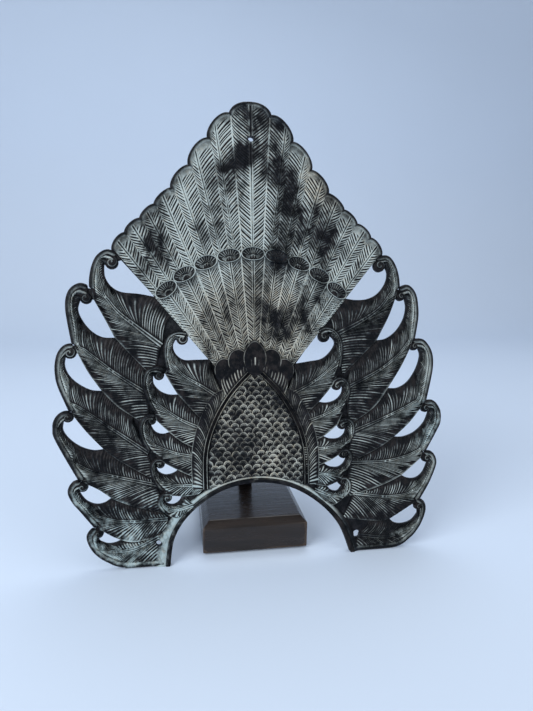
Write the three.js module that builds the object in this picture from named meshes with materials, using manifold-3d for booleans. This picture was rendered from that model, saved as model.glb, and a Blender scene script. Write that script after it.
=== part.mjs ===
// Arched aureole plaque, leaning on its display stand. Millimetres, +Z up, the plaque faces -Y.
// The plaque is drawn flat as (x across, h up the plaque, r relief towards the viewer) and then leant back.
import * as THREE from 'three'
import { mergeVertices } from 'three/addons/utils/BufferGeometryUtils.js'
import Module from 'manifold-3d'

const wasm = await Module()
wasm.setup()

// Plaque
const LEAN = 10.6 // degrees that the plaque leans back
const PLATE_THICK = 3
const PLUME_RISE = 1.2 // outer plumes' feathering above the plate
const INNER_RISE = 1.2 // inner plumes above the outer ones
const RIM_WIDTH = 4.4 // round bar that edges the fan and the outer plumes
const RIM_HEIGHT = 5.4
const INNER_RIM_WIDTH = 3
const INNER_RIM_HEIGHT = 6
const BALL_HEIGHT = 6.6 // ball that each plume's tip rolls up into
const ARCH_RIM_WIDTH = 3.6
const ARCH_RIM_HEIGHT = 5.4
const FOOT_BELOW = 2 // casting left below the floor line and then cut flat
const FAN_THICK = 4.4
const FEATHER_RISE = 0.5 // long feathers above the seams between them
const SHORT_RISE = 0.9 // short feathers, which lie over the long ones' roots
const SEAM_WIDTH = 1.2 // groove between two feathers
const FAN_CENTRE_H = 113
const QUILL_WIDTH = 1.4
const QUILL_RISE = 0.7
const SHORT_FROM = 50 // start of the short feathers from the fan's centre, behind the crest
const MIDRIB_WIDTH = 3.2
const MIDRIB_RISE = 1.1
const LAP_WIDTH = 1.8
const LAP_RISE = 0.7
const BREAST_THICK = 5
const BREAST_CROWN = 1.6
const BREAST_BORDER_WIDTH = 2.4
const BREAST_BORDER_RISE = 1.2
const CREST_HEIGHT = 8.4
const FOLD_WIDTH = 2.6
const FOLD_RISE = 1.3 // folds that hang from the crest, above the breast's edge
const EYE_LONG = 17
const EYE_SHORT = 9
const EYE_RING = 1.5
const EYE_RISE = 1.8
const EYE_RADIUS = 126 // from the fan's centre to the middle eye
const EYE_STEP = 8.7 // degrees from one eye to the next
const EYES_EACH_SIDE = 4
const EYE_DROP = 0.47 // millimetres nearer the centre for each step squared
const HANG_HOLE = 4.6
const HANG_HOLE_H = 330
const FOOT_HOLES = [{ at: [-76, 17], bore: 4 }, { at: [81.5, 13], bore: 5.6 }]
const DRILL_LENGTH = 20

// Stand
const FIT_GAP = 0.3 // between pieces that touch
const PAD_THICK = 1.5
const PAD_RADIUS = 6
const PAD_INSET = 12
const BLOCK_WIDTH = 84
const BLOCK_DEPTH = 100
const BLOCK_HEIGHT = 25.5
const BLOCK_CHAMFER = 5
const BLOCK_SETBACK = 6 // block's front behind the heel of the plaque's feet
const STRAP_WIDTH = 12
const STRAP_THICK = 3
const STRAP_BEND_INSET = 30 // bend of the strap from the back of the block
const STRAP_FOOT_LENGTH = 26
const STRAP_HEAD_LENGTH = 24
const REST_H = 205 // height up the plaque of the cross bar's middle
const REST_LENGTH = 64
const REST_TALL = 14
const REST_THICK = 3
const FELT_THICK = 2
const FELT_LENGTH = 16
const WOOD_SCREW = { head: 7.2, headThick: 2, shank: 3.6, length: 18 }
const WOOD_SCREW_SPACING = 13
const REST_SCREW = { head: 7, headThick: 2.2, shank: 3.8, into: 2 }

// How finely curves are cut up
const CHORD = 6
const BAR_CHORD = 7.5
const RIM_SIDES = 6
const RIDGE_SIDES = 4
const OVAL_SIDES = 12
const LEAST_EDGE = 0.3
const BALL_SIDES = 9
const BALL_RINGS = 6
const DRILL_SIDES = 12
const SCREW_SIDES = 14
const PAD_SIDES = 16
const FLOOR_SPAN = 1000 // block of empty space below the floor, which cuts the feet flat
const FLOOR_DEPTH = 100
const SHORTEST = 0.04 // edges shorter than this close up where solids are joined or cut

const PLUME_GROUND = PLATE_THICK + PLUME_RISE
const INNER_GROUND = PLUME_GROUND + INNER_RISE
const FEATHER_GROUND = FAN_THICK + FEATHER_RISE
const SHORT_GROUND = FAN_THICK + SHORT_RISE

const rad = THREE.MathUtils.degToRad
const leanAngle = rad(LEAN)

// Notches of the fan's right edge, from the top scallop outwards, and how far each scallop bulges
const NOTCHES = [[15.5, 349.5], [31, 329], [46, 307], [60.5, 289], [74.5, 276], [85.5, 264.5], [97, 253.5],
  [106, 240.5]]
const TOP_BULGE = 0.45
const BULGES = [0.36, 0.37, 0.36, 0.28, 0.3, 0.33, 0.36]
const FAN_TOE = [35, 154] // where the fan's straight sides run in behind the crest

// Edge of the arch, from the left foot over to the right one
const ARCH = [[-67.5, -FOOT_BELOW], [-63.5, 21], [-50, 39.5], [-27, 54], [0, 59], [27, 54], [50, 40],
  [67, 21], [76, -FOOT_BELOW]]
const FOOT_LEFT = [[-101, -FOOT_BELOW]]
const FOOT_RIGHT = [[112, -FOOT_BELOW]]

// Right side of the breast, from its point down
const BREAST_SIDE = [[0, 147], [18, 128], [31, 106], [37.5, 84], [38, 56]]

// Each plume: the ball at its rolled tip, the bar of its rim from the ball outwards and down, its midrib, and
// the gap under the tip as a straight side (from the ball down) and a hollow side (back up to the ball).
const OUTER_LEFT = [
  {
    ball: [-108, 231, 5], rim: [[-104.5, 236.5], [-111, 238.8], [-117, 235], [-120.5, 228], [-122.3, 219],
      [-122.5, 211]],
    rib: [[-117, 212], [-105, 195], [-91, 183], [-77, 172]],
    side: [[-101, 233], [-76, 205]],
    hollow: [[-76, 205], [-88, 207.3], [-101, 208.7], [-108.5, 213], [-113, 220.5], [-113.5, 230]]
  },
  {
    ball: [-127, 204, 4.5], rim: [[-125.5, 211.5], [-131, 213.2], [-136.5, 210], [-139.3, 204], [-139.8, 196],
      [-138.5, 186], [-135.5, 169]],
    rib: [[-134, 170], [-122, 160], [-106, 147], [-87, 134]],
    side: [[-121.5, 203], [-114, 189], [-106.5, 174]],
    hollow: [[-106.5, 174], [-115, 174.5], [-122.5, 178.5], [-129, 186], [-132.8, 195], [-131, 203]]
  },
  {
    ball: [-139, 163, 4.5], rim: [[-136.5, 168.2], [-142, 167], [-146, 162], [-147.7, 155], [-147.7, 147],
      [-145.8, 138], [-138, 119]],
    rib: [[-140, 127], [-128, 119], [-110, 106], [-88, 90]],
    side: [[-133.5, 162.5], [-126, 148], [-116.5, 134]],
    hollow: [[-116.5, 134], [-124, 134.8], [-132, 138.8], [-139, 145], [-142.8, 153], [-142, 161]]
  },
  {
    ball: [-141, 115, 4], rim: [[-139.5, 118], [-144.5, 117.2], [-148.5, 113.5], [-150.2, 107.5],
      [-149, 100.5], [-141, 84.5], [-131.5, 67]],
    rib: [[-138, 83], [-126, 75], [-106, 69], [-83, 63]],
    side: [[-136.5, 115], [-127, 102.5], [-115.5, 90]],
    hollow: [[-115.5, 90], [-123, 89.5], [-132, 92.5], [-140, 98.5], [-144.8, 106], [-143.5, 114]]
  },
  {
    ball: [-131, 62.5, 3.8], rim: [[-132.5, 66.3], [-137, 65], [-139.8, 59.5], [-137, 52.5], [-131.5, 45.5],
      [-121, 32]],
    rib: [[-128, 45], [-117, 39], [-100, 35], [-76, 35]],
    side: [[-127, 64], [-119, 59.5], [-110.5, 53]],
    hollow: [[-110.5, 53], [-116, 49.6], [-122.5, 49.2], [-129, 52.5], [-133.5, 59], [-133, 62]]
  },
  {
    ball: [-120, 27, 3.5], rim: [[-122.5, 31], [-126.7, 25.5], [-124.8, 18.5], [-120.5, 12.5], [-113, 7],
      [-101, 2.4], [-71, 1.6]],
    rib: [[-119, 15], [-106, 13], [-94, 14], [-82, 19]],
    side: [[-117.5, 29], [-110.5, 24.5], [-103.5, 21]],
    hollow: [[-103.5, 21], [-108, 19.2], [-113.5, 18.8], [-119, 21], [-121.5, 26]]
  }
]
const OUTER_RIGHT = [
  {
    ball: [105, 231, 5], rim: [[102.5, 236.5], [110.5, 237.8], [114.8, 235], [118, 229], [120, 221],
      [120.5, 212]],
    rib: [[116, 212], [105, 197], [89, 186], [71, 177]],
    side: [[99.5, 233], [74, 204.5]],
    hollow: [[74, 204.5], [84, 203], [94, 203.8], [103, 208], [110, 216.5], [112, 225], [109.5, 231]]
  },
  {
    ball: [123, 206, 3.8], rim: [[122, 211.5], [128, 213.7], [132, 211.5], [135, 206.5], [136.2, 199],
      [136.2, 188], [132.5, 169]],
    rib: [[131, 173], [122, 160], [104, 146], [80, 134]],
    side: [[118, 203.5], [112, 189], [101.5, 170]],
    hollow: [[101.5, 170], [110, 171.3], [119, 177.5], [125.5, 187], [128, 197], [126.5, 205]]
  },
  {
    ball: [134, 164.5, 3.4], rim: [[133.5, 168.8], [140.5, 168.7], [144.5, 165.2], [147.8, 159], [148.7, 151],
      [147.2, 140.5], [141.5, 118]],
    rib: [[140, 125], [130, 117], [108, 107], [84, 98]],
    side: [[130.5, 163.5], [122.5, 148.5], [110.5, 130.5]],
    hollow: [[110.5, 130.5], [119.5, 130.5], [128.5, 135.5], [136, 146], [139.5, 157], [137.2, 164]]
  },
  {
    ball: [143, 113, 3.4], rim: [[142.5, 117.5], [148.5, 117.7], [152.3, 114.2], [154.7, 108.5],
      [154.2, 101.5], [151, 95], [140, 77]],
    rib: [[142, 84], [130, 76], [108, 71], [83, 71]],
    side: [[139, 113.5], [128, 101], [115, 90.3]],
    hollow: [[115, 90.3], [123.5, 90], [133.5, 93.5], [142, 101], [146.3, 110.5], [146, 113]]
  },
  {
    ball: [143, 71.5, 3.4], rim: [[141.5, 76], [146.5, 75.2], [149.4, 71], [149.3, 65], [143, 51.5],
      [133.5, 37]],
    rib: [[137, 50], [124, 43], [106, 42], [86, 45]],
    side: [[137.5, 71.5], [130, 65.5], [121, 58.5]],
    hollow: [[121, 58.5], [127, 55.6], [134, 55.4], [140, 59.5], [143.7, 66.5], [145, 71]]
  },
  {
    ball: [135, 32, 3], rim: [[134, 37.5], [138.5, 34.7], [139.6, 30], [138, 24], [133.3, 15.5], [125.8, 8],
      [113, 2], [79.5, 1.6]],
    rib: [[131, 17], [118, 11], [104, 9], [90, 11]],
    side: [[129.5, 34], [120, 28.7], [110, 23.3]],
    hollow: [[110, 23.3], [115, 19.3], [122.5, 18.5], [130, 21], [136, 28], [136.5, 32]]
  }
]
const INNER = [
  {
    ball: [-56, 172.5, 4.5], rim: [[-52, 176.5], [-58.5, 177.3], [-65, 175], [-68.5, 169], [-69.3, 160],
      [-68, 150]],
    rib: [[-65, 156], [-56, 145], [-42, 136], [-30, 128]],
    side: [[-51, 174.5], [-36, 156.5]],
    hollow: [[-36, 156.5], [-46, 156.3], [-55, 156.5], [-61, 161], [-63, 167.5], [-60.5, 172.5]]
  },
  {
    ball: [-74, 145, 4], rim: [[-70, 149.5], [-76, 150.8], [-82, 148.5], [-85, 143], [-85, 136], [-82, 126.5],
      [-78, 117]],
    rib: [[-80, 128], [-70, 119], [-57, 110], [-44, 104]],
    side: [[-69.5, 146], [-65, 138], [-60, 129.7]],
    hollow: [[-60, 129.7], [-67, 130], [-73.5, 133], [-78, 138.5], [-78.3, 145]]
  },
  {
    ball: [-80, 110.5, 3.5], rim: [[-77, 114.5], [-82.5, 114.5], [-87, 110.5], [-88.3, 104], [-86.5, 96],
      [-82, 87]],
    rib: [[-83, 96], [-74, 90], [-62, 85], [-49, 82]],
    side: [[-76.5, 110.5], [-71.5, 105.5], [-66.8, 101]],
    hollow: [[-66.8, 101], [-72, 99.8], [-77.5, 102], [-81, 108], [-81, 110]]
  },
  {
    ball: [-74, 77, 3.5], rim: [[-71, 80.5], [-76.5, 80.7], [-80, 77], [-80.5, 71.5], [-78, 64], [-73, 56.5]],
    rib: [[-76, 65], [-68, 62], [-59, 60], [-49, 60]],
    side: [[-70.5, 77.5], [-65.5, 74.5], [-60.5, 71.7]],
    hollow: [[-60.5, 71.7], [-65.5, 69], [-71, 68.7], [-75.5, 71.5], [-77.3, 76.5]]
  },
  {
    ball: [-69, 51, 3.5], rim: [[-67, 54], [-72, 54], [-75, 50.5], [-75, 45.5], [-71, 39.5]],
    rib: [[-71, 44], [-66, 42], [-61, 41.5], [-57, 42.5]],
    side: [[-66, 52.5], [-58, 51.7]],
    hollow: [[-58, 51.7], [-60.5, 47.5], [-65, 45.5], [-70, 47], [-71.5, 50.5]]
  },
  {
    ball: [57, 173.5, 4.8], rim: [[52, 178], [57.5, 180.3], [64.5, 178.5], [69.5, 173], [71.5, 165],
      [71, 156], [69.5, 148]],
    rib: [[68, 156], [58, 145], [45, 136], [31, 129]],
    side: [[51.5, 176], [33.5, 152]],
    hollow: [[33.5, 152], [44, 153.5], [55, 155.5], [62.5, 161.5], [66, 168.5], [62, 174]]
  },
  {
    ball: [67, 133.5, 3.8], rim: [[63, 137], [67.5, 139.8], [72.5, 139], [76.3, 134.5], [77, 128], [75, 120]],
    rib: [[74, 123], [66, 116], [54, 110], [42, 106]],
    side: [[63.5, 134.5], [58, 128], [51.5, 121]],
    hollow: [[51.5, 121], [58.5, 120], [66, 122], [71, 127], [72, 133]]
  },
  {
    ball: [71, 101.5, 3.6], rim: [[68, 105], [72.5, 106.6], [77.5, 105.5], [80.3, 101], [80, 95], [76, 87]],
    rib: [[77, 89], [67, 86], [56, 84], [45, 84]],
    side: [[67, 102.5], [61, 97.5], [55, 93.3]],
    hollow: [[55, 93.3], [60.5, 91], [68, 91], [73, 95], [74, 101]]
  },
  {
    ball: [71.5, 78, 3.5], rim: [[69, 81], [73.5, 81.8], [77.3, 78.5], [77.5, 72.5], [73.5, 66]],
    rib: [[74, 67], [66, 64], [57, 63], [48, 64]],
    side: [[67.5, 78], [61.5, 74.5], [55, 71.7]],
    hollow: [[55, 71.7], [60.5, 68.3], [67.5, 67.8], [72.5, 71.5], [75, 77.5]]
  },
  {
    ball: [70, 56, 3.2], rim: [[68, 58.8], [72.5, 59], [76, 55.5], [76, 49], [71, 43.5]],
    rib: [[72, 47], [66, 45], [60, 45.5], [54, 48]],
    side: [[67.5, 57], [57.5, 53]],
    hollow: [[57.5, 53], [61, 49.5], [66, 48.5], [69.5, 52], [71.5, 56]]
  }
]
// Folds that hang from the crest over the right side of the breast
const CREST_FOLDS = [[[5, 152], [14.5, 137.5]], [[11, 151], [19, 134]], [[17, 149], [24, 131]],
  [[23.5, 145], [28.5, 128]]]
// Lobes of the crest: centre and half sizes
const CREST_LOBES = [
  { at: [0, 158], half: [9.5, 12.5] },
  { at: [-13, 154.5], half: [8.5, 10] },
  { at: [13, 154.5], half: [8.5, 10] },
  { at: [-24, 148], half: [8, 9.5] },
  { at: [23.5, 147], half: [8, 9.5] }
]

const vec2 = (p) => new THREE.Vector2(p[0], p[1])
const stepsFor = (length, chord = CHORD) => Math.max(3, Math.round(length / chord))

// Points along a smooth curve through hand-set points
function smooth(points) {
  const curve = new THREE.SplineCurve(points.map(vec2))
  return curve.getSpacedPoints(stepsFor(curve.getLength()))
}

// A closed outline without points that all but fall together
function outline(points) {
  const before = (i) => points[(i + points.length - 1) % points.length]
  return new THREE.Shape(points.filter((p, i) => p.distanceTo(before(i)) > LEAST_EDGE))
}

function toSolid(geometry) {
  const bare = geometry.index ? geometry.toNonIndexed() : geometry.clone()
  bare.deleteAttribute('normal')
  bare.deleteAttribute('uv')
  const merged = mergeVertices(bare, 1e-4)
  return new wasm.Manifold(new wasm.Mesh({
    numProp: 3,
    tolerance: SHORTEST,
    vertProperties: Float32Array.from(merged.attributes.position.array),
    triVerts: Uint32Array.from(merged.index.array)
  }))
}

function toGeometry(solid) {
  const mesh = solid.getMesh()
  const geometry = new THREE.BufferGeometry()
  geometry.setAttribute('position', new THREE.BufferAttribute(Float32Array.from(mesh.vertProperties), 3))
  geometry.setIndex(new THREE.BufferAttribute(Uint32Array.from(mesh.triVerts), 1))
  geometry.computeVertexNormals()
  return geometry
}

const joined = (solids) => solids.reduce((whole, solid) => whole.add(solid))

// The casting's outer skin, with any small pocket that the joins closed inside it filled
function filled(solid) {
  return solid.decompose().reduce((most, shell) => (shell.volume() > most.volume() ? shell : most))
}

// Flat slab of an outline, from the plaque's back up to the given relief
function slab(shape, relief, bevel = 0) {
  return toSolid(new THREE.ExtrudeGeometry(shape, {
    depth: relief - bevel,
    bevelEnabled: bevel > 0,
    bevelThickness: bevel,
    bevelSize: bevel,
    bevelOffset: -bevel,
    bevelSegments: 2,
    curveSegments: OVAL_SIDES / 2
  }))
}

// Bar of oval section along a smooth curve, its middle at the given relief
function bar(points, width, height, relief, sides) {
  const section = new THREE.Shape()
  for (let i = 0; i < sides; i += 1) {
    const turn = (2 * Math.PI * i) / sides
    section[i ? 'lineTo' : 'moveTo'](Math.cos(turn) * height / 2, Math.sin(turn) * width / 2)
  }
  const path = new THREE.CatmullRomCurve3(points.map((p) => new THREE.Vector3(p[0], p[1], relief)), false,
    'centripetal')
  return toSolid(new THREE.ExtrudeGeometry(section, {
    steps: points.length > 2 ? stepsFor(path.getLength(), BAR_CHORD) : 1,
    extrudePath: path,
    bevelEnabled: false
  }))
}

function ellipsoid(at, half, height) {
  const ball = new THREE.SphereGeometry(1, BALL_SIDES, BALL_RINGS)
  ball.rotateX(Math.PI / 2)
  ball.scale(half[0], half[1], height / 2)
  ball.translate(at[0], at[1], height / 2)
  return toSolid(ball)
}

// Direction from the fan's centre, turned clockwise from straight up, and a point along it
const fanPoint = (degrees, radius) => [
  Math.sin(rad(degrees)) * radius, FAN_CENTRE_H + Math.cos(rad(degrees)) * radius
]

// Middle line of the bar along one scallop, from notch to notch
function scallop(from, to, bulge) {
  const a = vec2(from)
  const b = vec2(to)
  const out = new THREE.Vector2(-(b.y - a.y), b.x - a.x).multiplyScalar(bulge)
  const curve = new THREE.CubicBezierCurve(a, a.clone().add(out), b.clone().add(out), b)
  const centre = new THREE.Vector2(0, FAN_CENTRE_H)
  return curve.getSpacedPoints(stepsFor(curve.getLength())).map((p) => {
    const inwards = centre.clone().sub(p).setLength(RIM_WIDTH / 2)
    return p.clone().add(inwards)
  })
}

// All the scallops from the left end of the fan to the right end
function scallops() {
  const right = BULGES.map((bulge, i) => scallop(NOTCHES[i], NOTCHES[i + 1], bulge))
  const mirrored = right.map((line) => line.map((p) => new THREE.Vector2(-p.x, p.y)).reverse()).reverse()
  const first = NOTCHES[0]
  return [...mirrored, scallop([-first[0], first[1]], first, TOP_BULGE), ...right]
}

function plateOutline() {
  const up = OUTER_LEFT.map((plume) => smooth(plume.rim).reverse()).reverse().flat()
  const down = OUTER_RIGHT.map((plume) => smooth(plume.rim)).flat()
  const footLeft = smooth(ARCH).slice(0, 1).concat(FOOT_LEFT.map(vec2))
  const below = up.findIndex((p) => p.x < FOOT_LEFT[0][0])
  const lastAbove = down.findLastIndex((p) => p.x > FOOT_RIGHT[0][0])
  return [
    ...footLeft,
    ...up.slice(below),
    ...scallops().flat(),
    ...down.slice(0, lastAbove + 1),
    ...FOOT_RIGHT.map(vec2),
    ...smooth(ARCH).reverse().slice(0, -1)
  ]
}

// The pierced plate that carries all the relief, at the given thickness
function plate(thickness) {
  const gaps = [...OUTER_LEFT, ...OUTER_RIGHT, ...INNER].map(({ side, hollow }) => {
    const gap = slab(outline([...side.slice(0, -1).map(vec2), ...smooth(hollow)]), 3 * thickness)
    return gap.translate(0, 0, -thickness)
  })
  return slab(outline(plateOutline()), thickness).subtract(joined(gaps))
}

function plume(parts, width, height, ground) {
  const [x, h, radius] = parts.ball
  return [
    bar(parts.rim, width, height, height / 2, RIM_SIDES),
    ellipsoid([x, h], [radius, radius], BALL_HEIGHT),
    bar(parts.rib, MIDRIB_WIDTH, 2 * MIDRIB_RISE, ground, RIDGE_SIDES)
  ]
}

// Raised edges, from each gap inwards, where a plume laps over the one below it
function laps(plumes, ground) {
  return plumes.slice(1).map((parts, i) => {
    const [above, below] = [plumes[i], parts].map(({ rib }) => vec2(rib.at(-1)))
    const root = above.lerp(below, 0.5)
    return bar([parts.side.at(-1), [root.x, root.y]], LAP_WIDTH, 2 * LAP_RISE, ground, RIDGE_SIDES)
  })
}

// The raised ground of the inner plumes on one side, from the fan's toe down to the shoulder of the arch
function innerBed(plumes, shoulder, side) {
  const toe = vec2([side * FAN_TOE[0], FAN_TOE[1]])
  const rims = plumes.flatMap((parts) => smooth(parts.rim))
  const roots = BREAST_SIDE.slice(1).reverse().map(([x, h]) => vec2([side * x, h]))
  return slab(outline([toe, ...rims, vec2(shoulder), ...roots]), INNER_GROUND)
}

function fan() {
  const edge = scallops().flat()
  const toes = [new THREE.Vector2(FAN_TOE[0], FAN_TOE[1]), new THREE.Vector2(-FAN_TOE[0], FAN_TOE[1])]
  return slab(outline([...edge, ...toes]), FAN_THICK)
}

// Raised quill from one radius of the fan to another
function quill(degrees, from, to, ground) {
  const line = [fanPoint(degrees, from), fanPoint(degrees, to)]
  return bar(line, QUILL_WIDTH, 2 * QUILL_RISE, ground, RIDGE_SIDES)
}

const eyeRadius = (degrees) => EYE_RADIUS - EYE_DROP * (degrees / EYE_STEP) ** 2
const intoEye = EYE_SHORT / 2 - EYE_RING / 2
const angleOf = (p) => THREE.MathUtils.radToDeg(Math.atan2(p.x, p.y - FAN_CENTRE_H))
const radiusOf = (p) => Math.hypot(p.x, p.y - FAN_CENTRE_H)

// A point moved across the fan's radius at the given angle
function aside(point, degrees, shift) {
  const across = new THREE.Vector2(Math.cos(rad(degrees)), -Math.sin(rad(degrees)))
  return point.clone().add(across.multiplyScalar(shift))
}

// A long feather from the eyes up to its scallop, half a seam in from each side, and its quill
function longFeather(line, quillEnd) {
  const [left, right] = [line[0], line.at(-1)].map(angleOf)
  const foot = (degrees) => vec2(fanPoint(degrees, eyeRadius(degrees) + intoEye))
  const half = SEAM_WIDTH / 2
  const blade = outline([
    aside(foot(left), left, half), aside(line[0], left, half), ...line.slice(1, -1),
    aside(line.at(-1), right, -half), aside(foot(right), right, -half)
  ])
  const middle = (left + right) / 2
  return [
    slab(blade, FEATHER_GROUND),
    quill(middle, eyeRadius(middle) + intoEye, quillEnd, FEATHER_GROUND)
  ]
}

function longFeathers() {
  const top = BULGES.length
  const belowHole = HANG_HOLE_H - FAN_CENTRE_H - HANG_HOLE
  return scallops().flatMap((line, i) => {
    const belowRim = (radiusOf(line[0]) + radiusOf(line.at(-1)) - RIM_WIDTH) / 2
    return longFeather(line, i === top ? belowHole : belowRim)
  })
}

// A short feather from behind the crest up to its eye, and its quill
function shortFeather({ degrees, radius }) {
  const end = radius - intoEye
  const half = SEAM_WIDTH / 2
  const corner = (side, from) => {
    const turned = degrees + side * EYE_STEP / 2
    return aside(vec2(fanPoint(turned, from)), turned, -side * half)
  }
  const blade = [corner(-1, SHORT_FROM), corner(-1, end), corner(1, end), corner(1, SHORT_FROM)]
  return [slab(outline(blade), SHORT_GROUND), quill(degrees, SHORT_FROM, end, SHORT_GROUND)]
}

function eyePlaces() {
  const places = []
  for (let i = -EYES_EACH_SIDE; i <= EYES_EACH_SIDE; i += 1) {
    places.push({ degrees: i * EYE_STEP, radius: eyeRadius(i * EYE_STEP) })
  }
  return places
}

// Oval rings that cap the short feathers
function eyes() {
  return eyePlaces().map(({ degrees, radius }) => {
    const ring = new THREE.Shape()
    const [x, h] = fanPoint(degrees, radius)
    const turn = -rad(degrees)
    ring.absellipse(x, h, EYE_LONG / 2, EYE_SHORT / 2, 0, 2 * Math.PI, false, turn)
    const middle = new THREE.Path()
    middle.absellipse(x, h, EYE_LONG / 2 - EYE_RING, EYE_SHORT / 2 - EYE_RING, 0, 2 * Math.PI, false, turn)
    ring.holes.push(middle)
    return slab(ring, FAN_THICK + EYE_RISE)
  })
}

const mirror = (points) => points.map(([x, h]) => [-x, h])

function breast() {
  const right = smooth(BREAST_SIDE)
  const left = smooth(mirror(BREAST_SIDE)).reverse().slice(0, -1)
  const field = slab(outline([...right, ...left]), BREAST_THICK + BREAST_CROWN, BREAST_CROWN)
  const border = [BREAST_SIDE, mirror(BREAST_SIDE)].map((side) => bar(side, BREAST_BORDER_WIDTH,
    2 * BREAST_BORDER_RISE, BREAST_THICK, RIDGE_SIDES))
  return [field, ...border]
}

function crest() {
  const lobes = CREST_LOBES.map((lobe) => ellipsoid(lobe.at, lobe.half, CREST_HEIGHT))
  const lines = [...CREST_FOLDS, ...CREST_FOLDS.map(mirror)]
  const folds = lines.map((line) => bar(line, FOLD_WIDTH, 2 * FOLD_RISE, BREAST_THICK, RIDGE_SIDES))
  return [...lobes, ...folds]
}

function archRim() {
  const inner = smooth(ARCH)
  const outer = inner.map((p, i) => {
    const along = inner[Math.min(i + 1, inner.length - 1)].clone().sub(inner[Math.max(i - 1, 0)])
    return p.clone().add(new THREE.Vector2(-along.y, along.x).setLength(ARCH_RIM_WIDTH))
  })
  return slab(outline([...inner, ...outer.reverse()]), ARCH_RIM_HEIGHT)
}

function hole([x, h], bore) {
  const drill = new THREE.CylinderGeometry(bore / 2, bore / 2, DRILL_LENGTH, DRILL_SIDES)
  drill.rotateX(Math.PI / 2)
  drill.translate(x, h, 0)
  return toSolid(drill)
}

// Lean a piece drawn flat in the plaque's plane back into place
function leanBack(geometry) {
  return geometry.rotateX(Math.PI / 2 - leanAngle)
}

function plaque() {
  const perSide = INNER.length / 2
  const beds = [
    innerBed(INNER.slice(0, perSide), ARCH[2], -1),
    innerBed(INNER.slice(perSide), ARCH.at(-3), 1)
  ]
  const feathers = [...longFeathers(), ...eyePlaces().flatMap(shortFeather), ...eyes()]
  const within = plate(2 * CREST_HEIGHT)
  const raised = joined([fan(), ...beds, ...feathers, ...breast(), archRim()]).intersect(within)
  const scallopLines = scallops().map((line) => line.map((p) => [p.x, p.y]))
  const scallopRims = scallopLines.map((line) => bar(line, RIM_WIDTH, RIM_HEIGHT, RIM_HEIGHT / 2, RIM_SIDES))
  const outer = [...OUTER_LEFT, ...OUTER_RIGHT]
    .flatMap((parts) => plume(parts, RIM_WIDTH, RIM_HEIGHT, PLUME_GROUND))
  const inner = INNER.flatMap((parts) => plume(parts, INNER_RIM_WIDTH, INNER_RIM_HEIGHT, INNER_GROUND))
  const edges = [
    ...laps(OUTER_LEFT, PLUME_GROUND), ...laps(OUTER_RIGHT, PLUME_GROUND),
    ...laps(INNER.slice(0, perSide), INNER_GROUND), ...laps(INNER.slice(perSide), INNER_GROUND)
  ]
  const plumes = [...outer, ...inner, ...edges]
  const whole = joined([plate(PLUME_GROUND), raised, ...crest(), ...scallopRims, ...plumes])
  const feetHoles = FOOT_HOLES.map(({ at, bore }) => hole(at, bore))
  const holes = joined([hole([0, HANG_HOLE_H], HANG_HOLE), ...feetHoles])
  const leant = toSolid(leanBack(toGeometry(filled(whole).subtract(holes))))
  return toGeometry(filled(leant.subtract(floor())))
}

// Everything below the floor, to cut the feet flat
function floor() {
  const empty = new THREE.BoxGeometry(FLOOR_SPAN, FLOOR_SPAN, FLOOR_DEPTH)
  empty.translate(0, 0, -FLOOR_DEPTH / 2)
  return toSolid(empty)
}

const blockFront = BLOCK_SETBACK
const blockBack = BLOCK_SETBACK + BLOCK_DEPTH
const blockBottom = PAD_THICK + FIT_GAP
const blockTop = blockBottom + BLOCK_HEIGHT

// Block with a chamfer around its top edge
function block() {
  const half = BLOCK_WIDTH / 2
  const tall = new THREE.BoxGeometry(BLOCK_WIDTH, BLOCK_DEPTH, BLOCK_HEIGHT)
  tall.translate(0, (blockFront + blockBack) / 2, (blockBottom + blockTop) / 2)
  const profile = (reach) => new THREE.Shape([
    vec2([-reach, blockBottom]), vec2([reach, blockBottom]), vec2([reach, blockTop - BLOCK_CHAMFER]),
    vec2([reach - BLOCK_CHAMFER, blockTop]), vec2([-reach + BLOCK_CHAMFER, blockTop]),
    vec2([-reach, blockTop - BLOCK_CHAMFER])
  ])
  const across = new THREE.ExtrudeGeometry(profile(half), { depth: BLOCK_DEPTH, bevelEnabled: false })
  across.rotateX(Math.PI / 2)
  across.translate(0, blockBack, 0)
  const along = new THREE.ExtrudeGeometry(profile(BLOCK_DEPTH / 2), {
    depth: BLOCK_WIDTH, bevelEnabled: false
  })
  along.rotateX(Math.PI / 2)
  along.rotateZ(Math.PI / 2)
  along.translate(-half, (blockFront + blockBack) / 2, 0)
  const bores = screwPlaces().map((y) => woodScrew(y, FIT_GAP))
  const chamfered = toSolid(tall).intersect(toSolid(across)).intersect(toSolid(along))
  return toGeometry(chamfered.subtract(joined(bores)))
}

const bendY = blockBack - STRAP_BEND_INSET
const screwPlaces = () => {
  const middle = bendY + STRAP_FOOT_LENGTH / 2 + STRAP_THICK / 2
  return [middle - WOOD_SCREW_SPACING / 2, middle + WOOD_SCREW_SPACING / 2]
}
const strapFootTop = blockTop + FIT_GAP + STRAP_THICK

// Countersunk wood screw down through the strap's foot, or with a clearance the hole for it
function woodScrew(y, clearance) {
  const { head, headThick, shank, length } = WOOD_SCREW
  const r = shank / 2 + clearance
  const profile = [
    [0, -length - clearance], [r, -length + shank - clearance], [r, -headThick - clearance],
    [head / 2 + clearance, 0], [head / 2 + clearance, clearance], [0, clearance]
  ].map(vec2)
  const lathe = new THREE.LatheGeometry(profile, SCREW_SIDES)
  lathe.rotateX(Math.PI / 2)
  lathe.translate(0, y, strapFootTop - FIT_GAP)
  return toSolid(lathe)
}

// Place a point (h up the plaque, r in front of its back) in the upright y, z plane
const inPlane = (h, r) => new THREE.Vector2(
  h * Math.sin(leanAngle) - r * Math.cos(leanAngle), h * Math.cos(leanAngle) + r * Math.sin(leanAngle)
)

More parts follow.
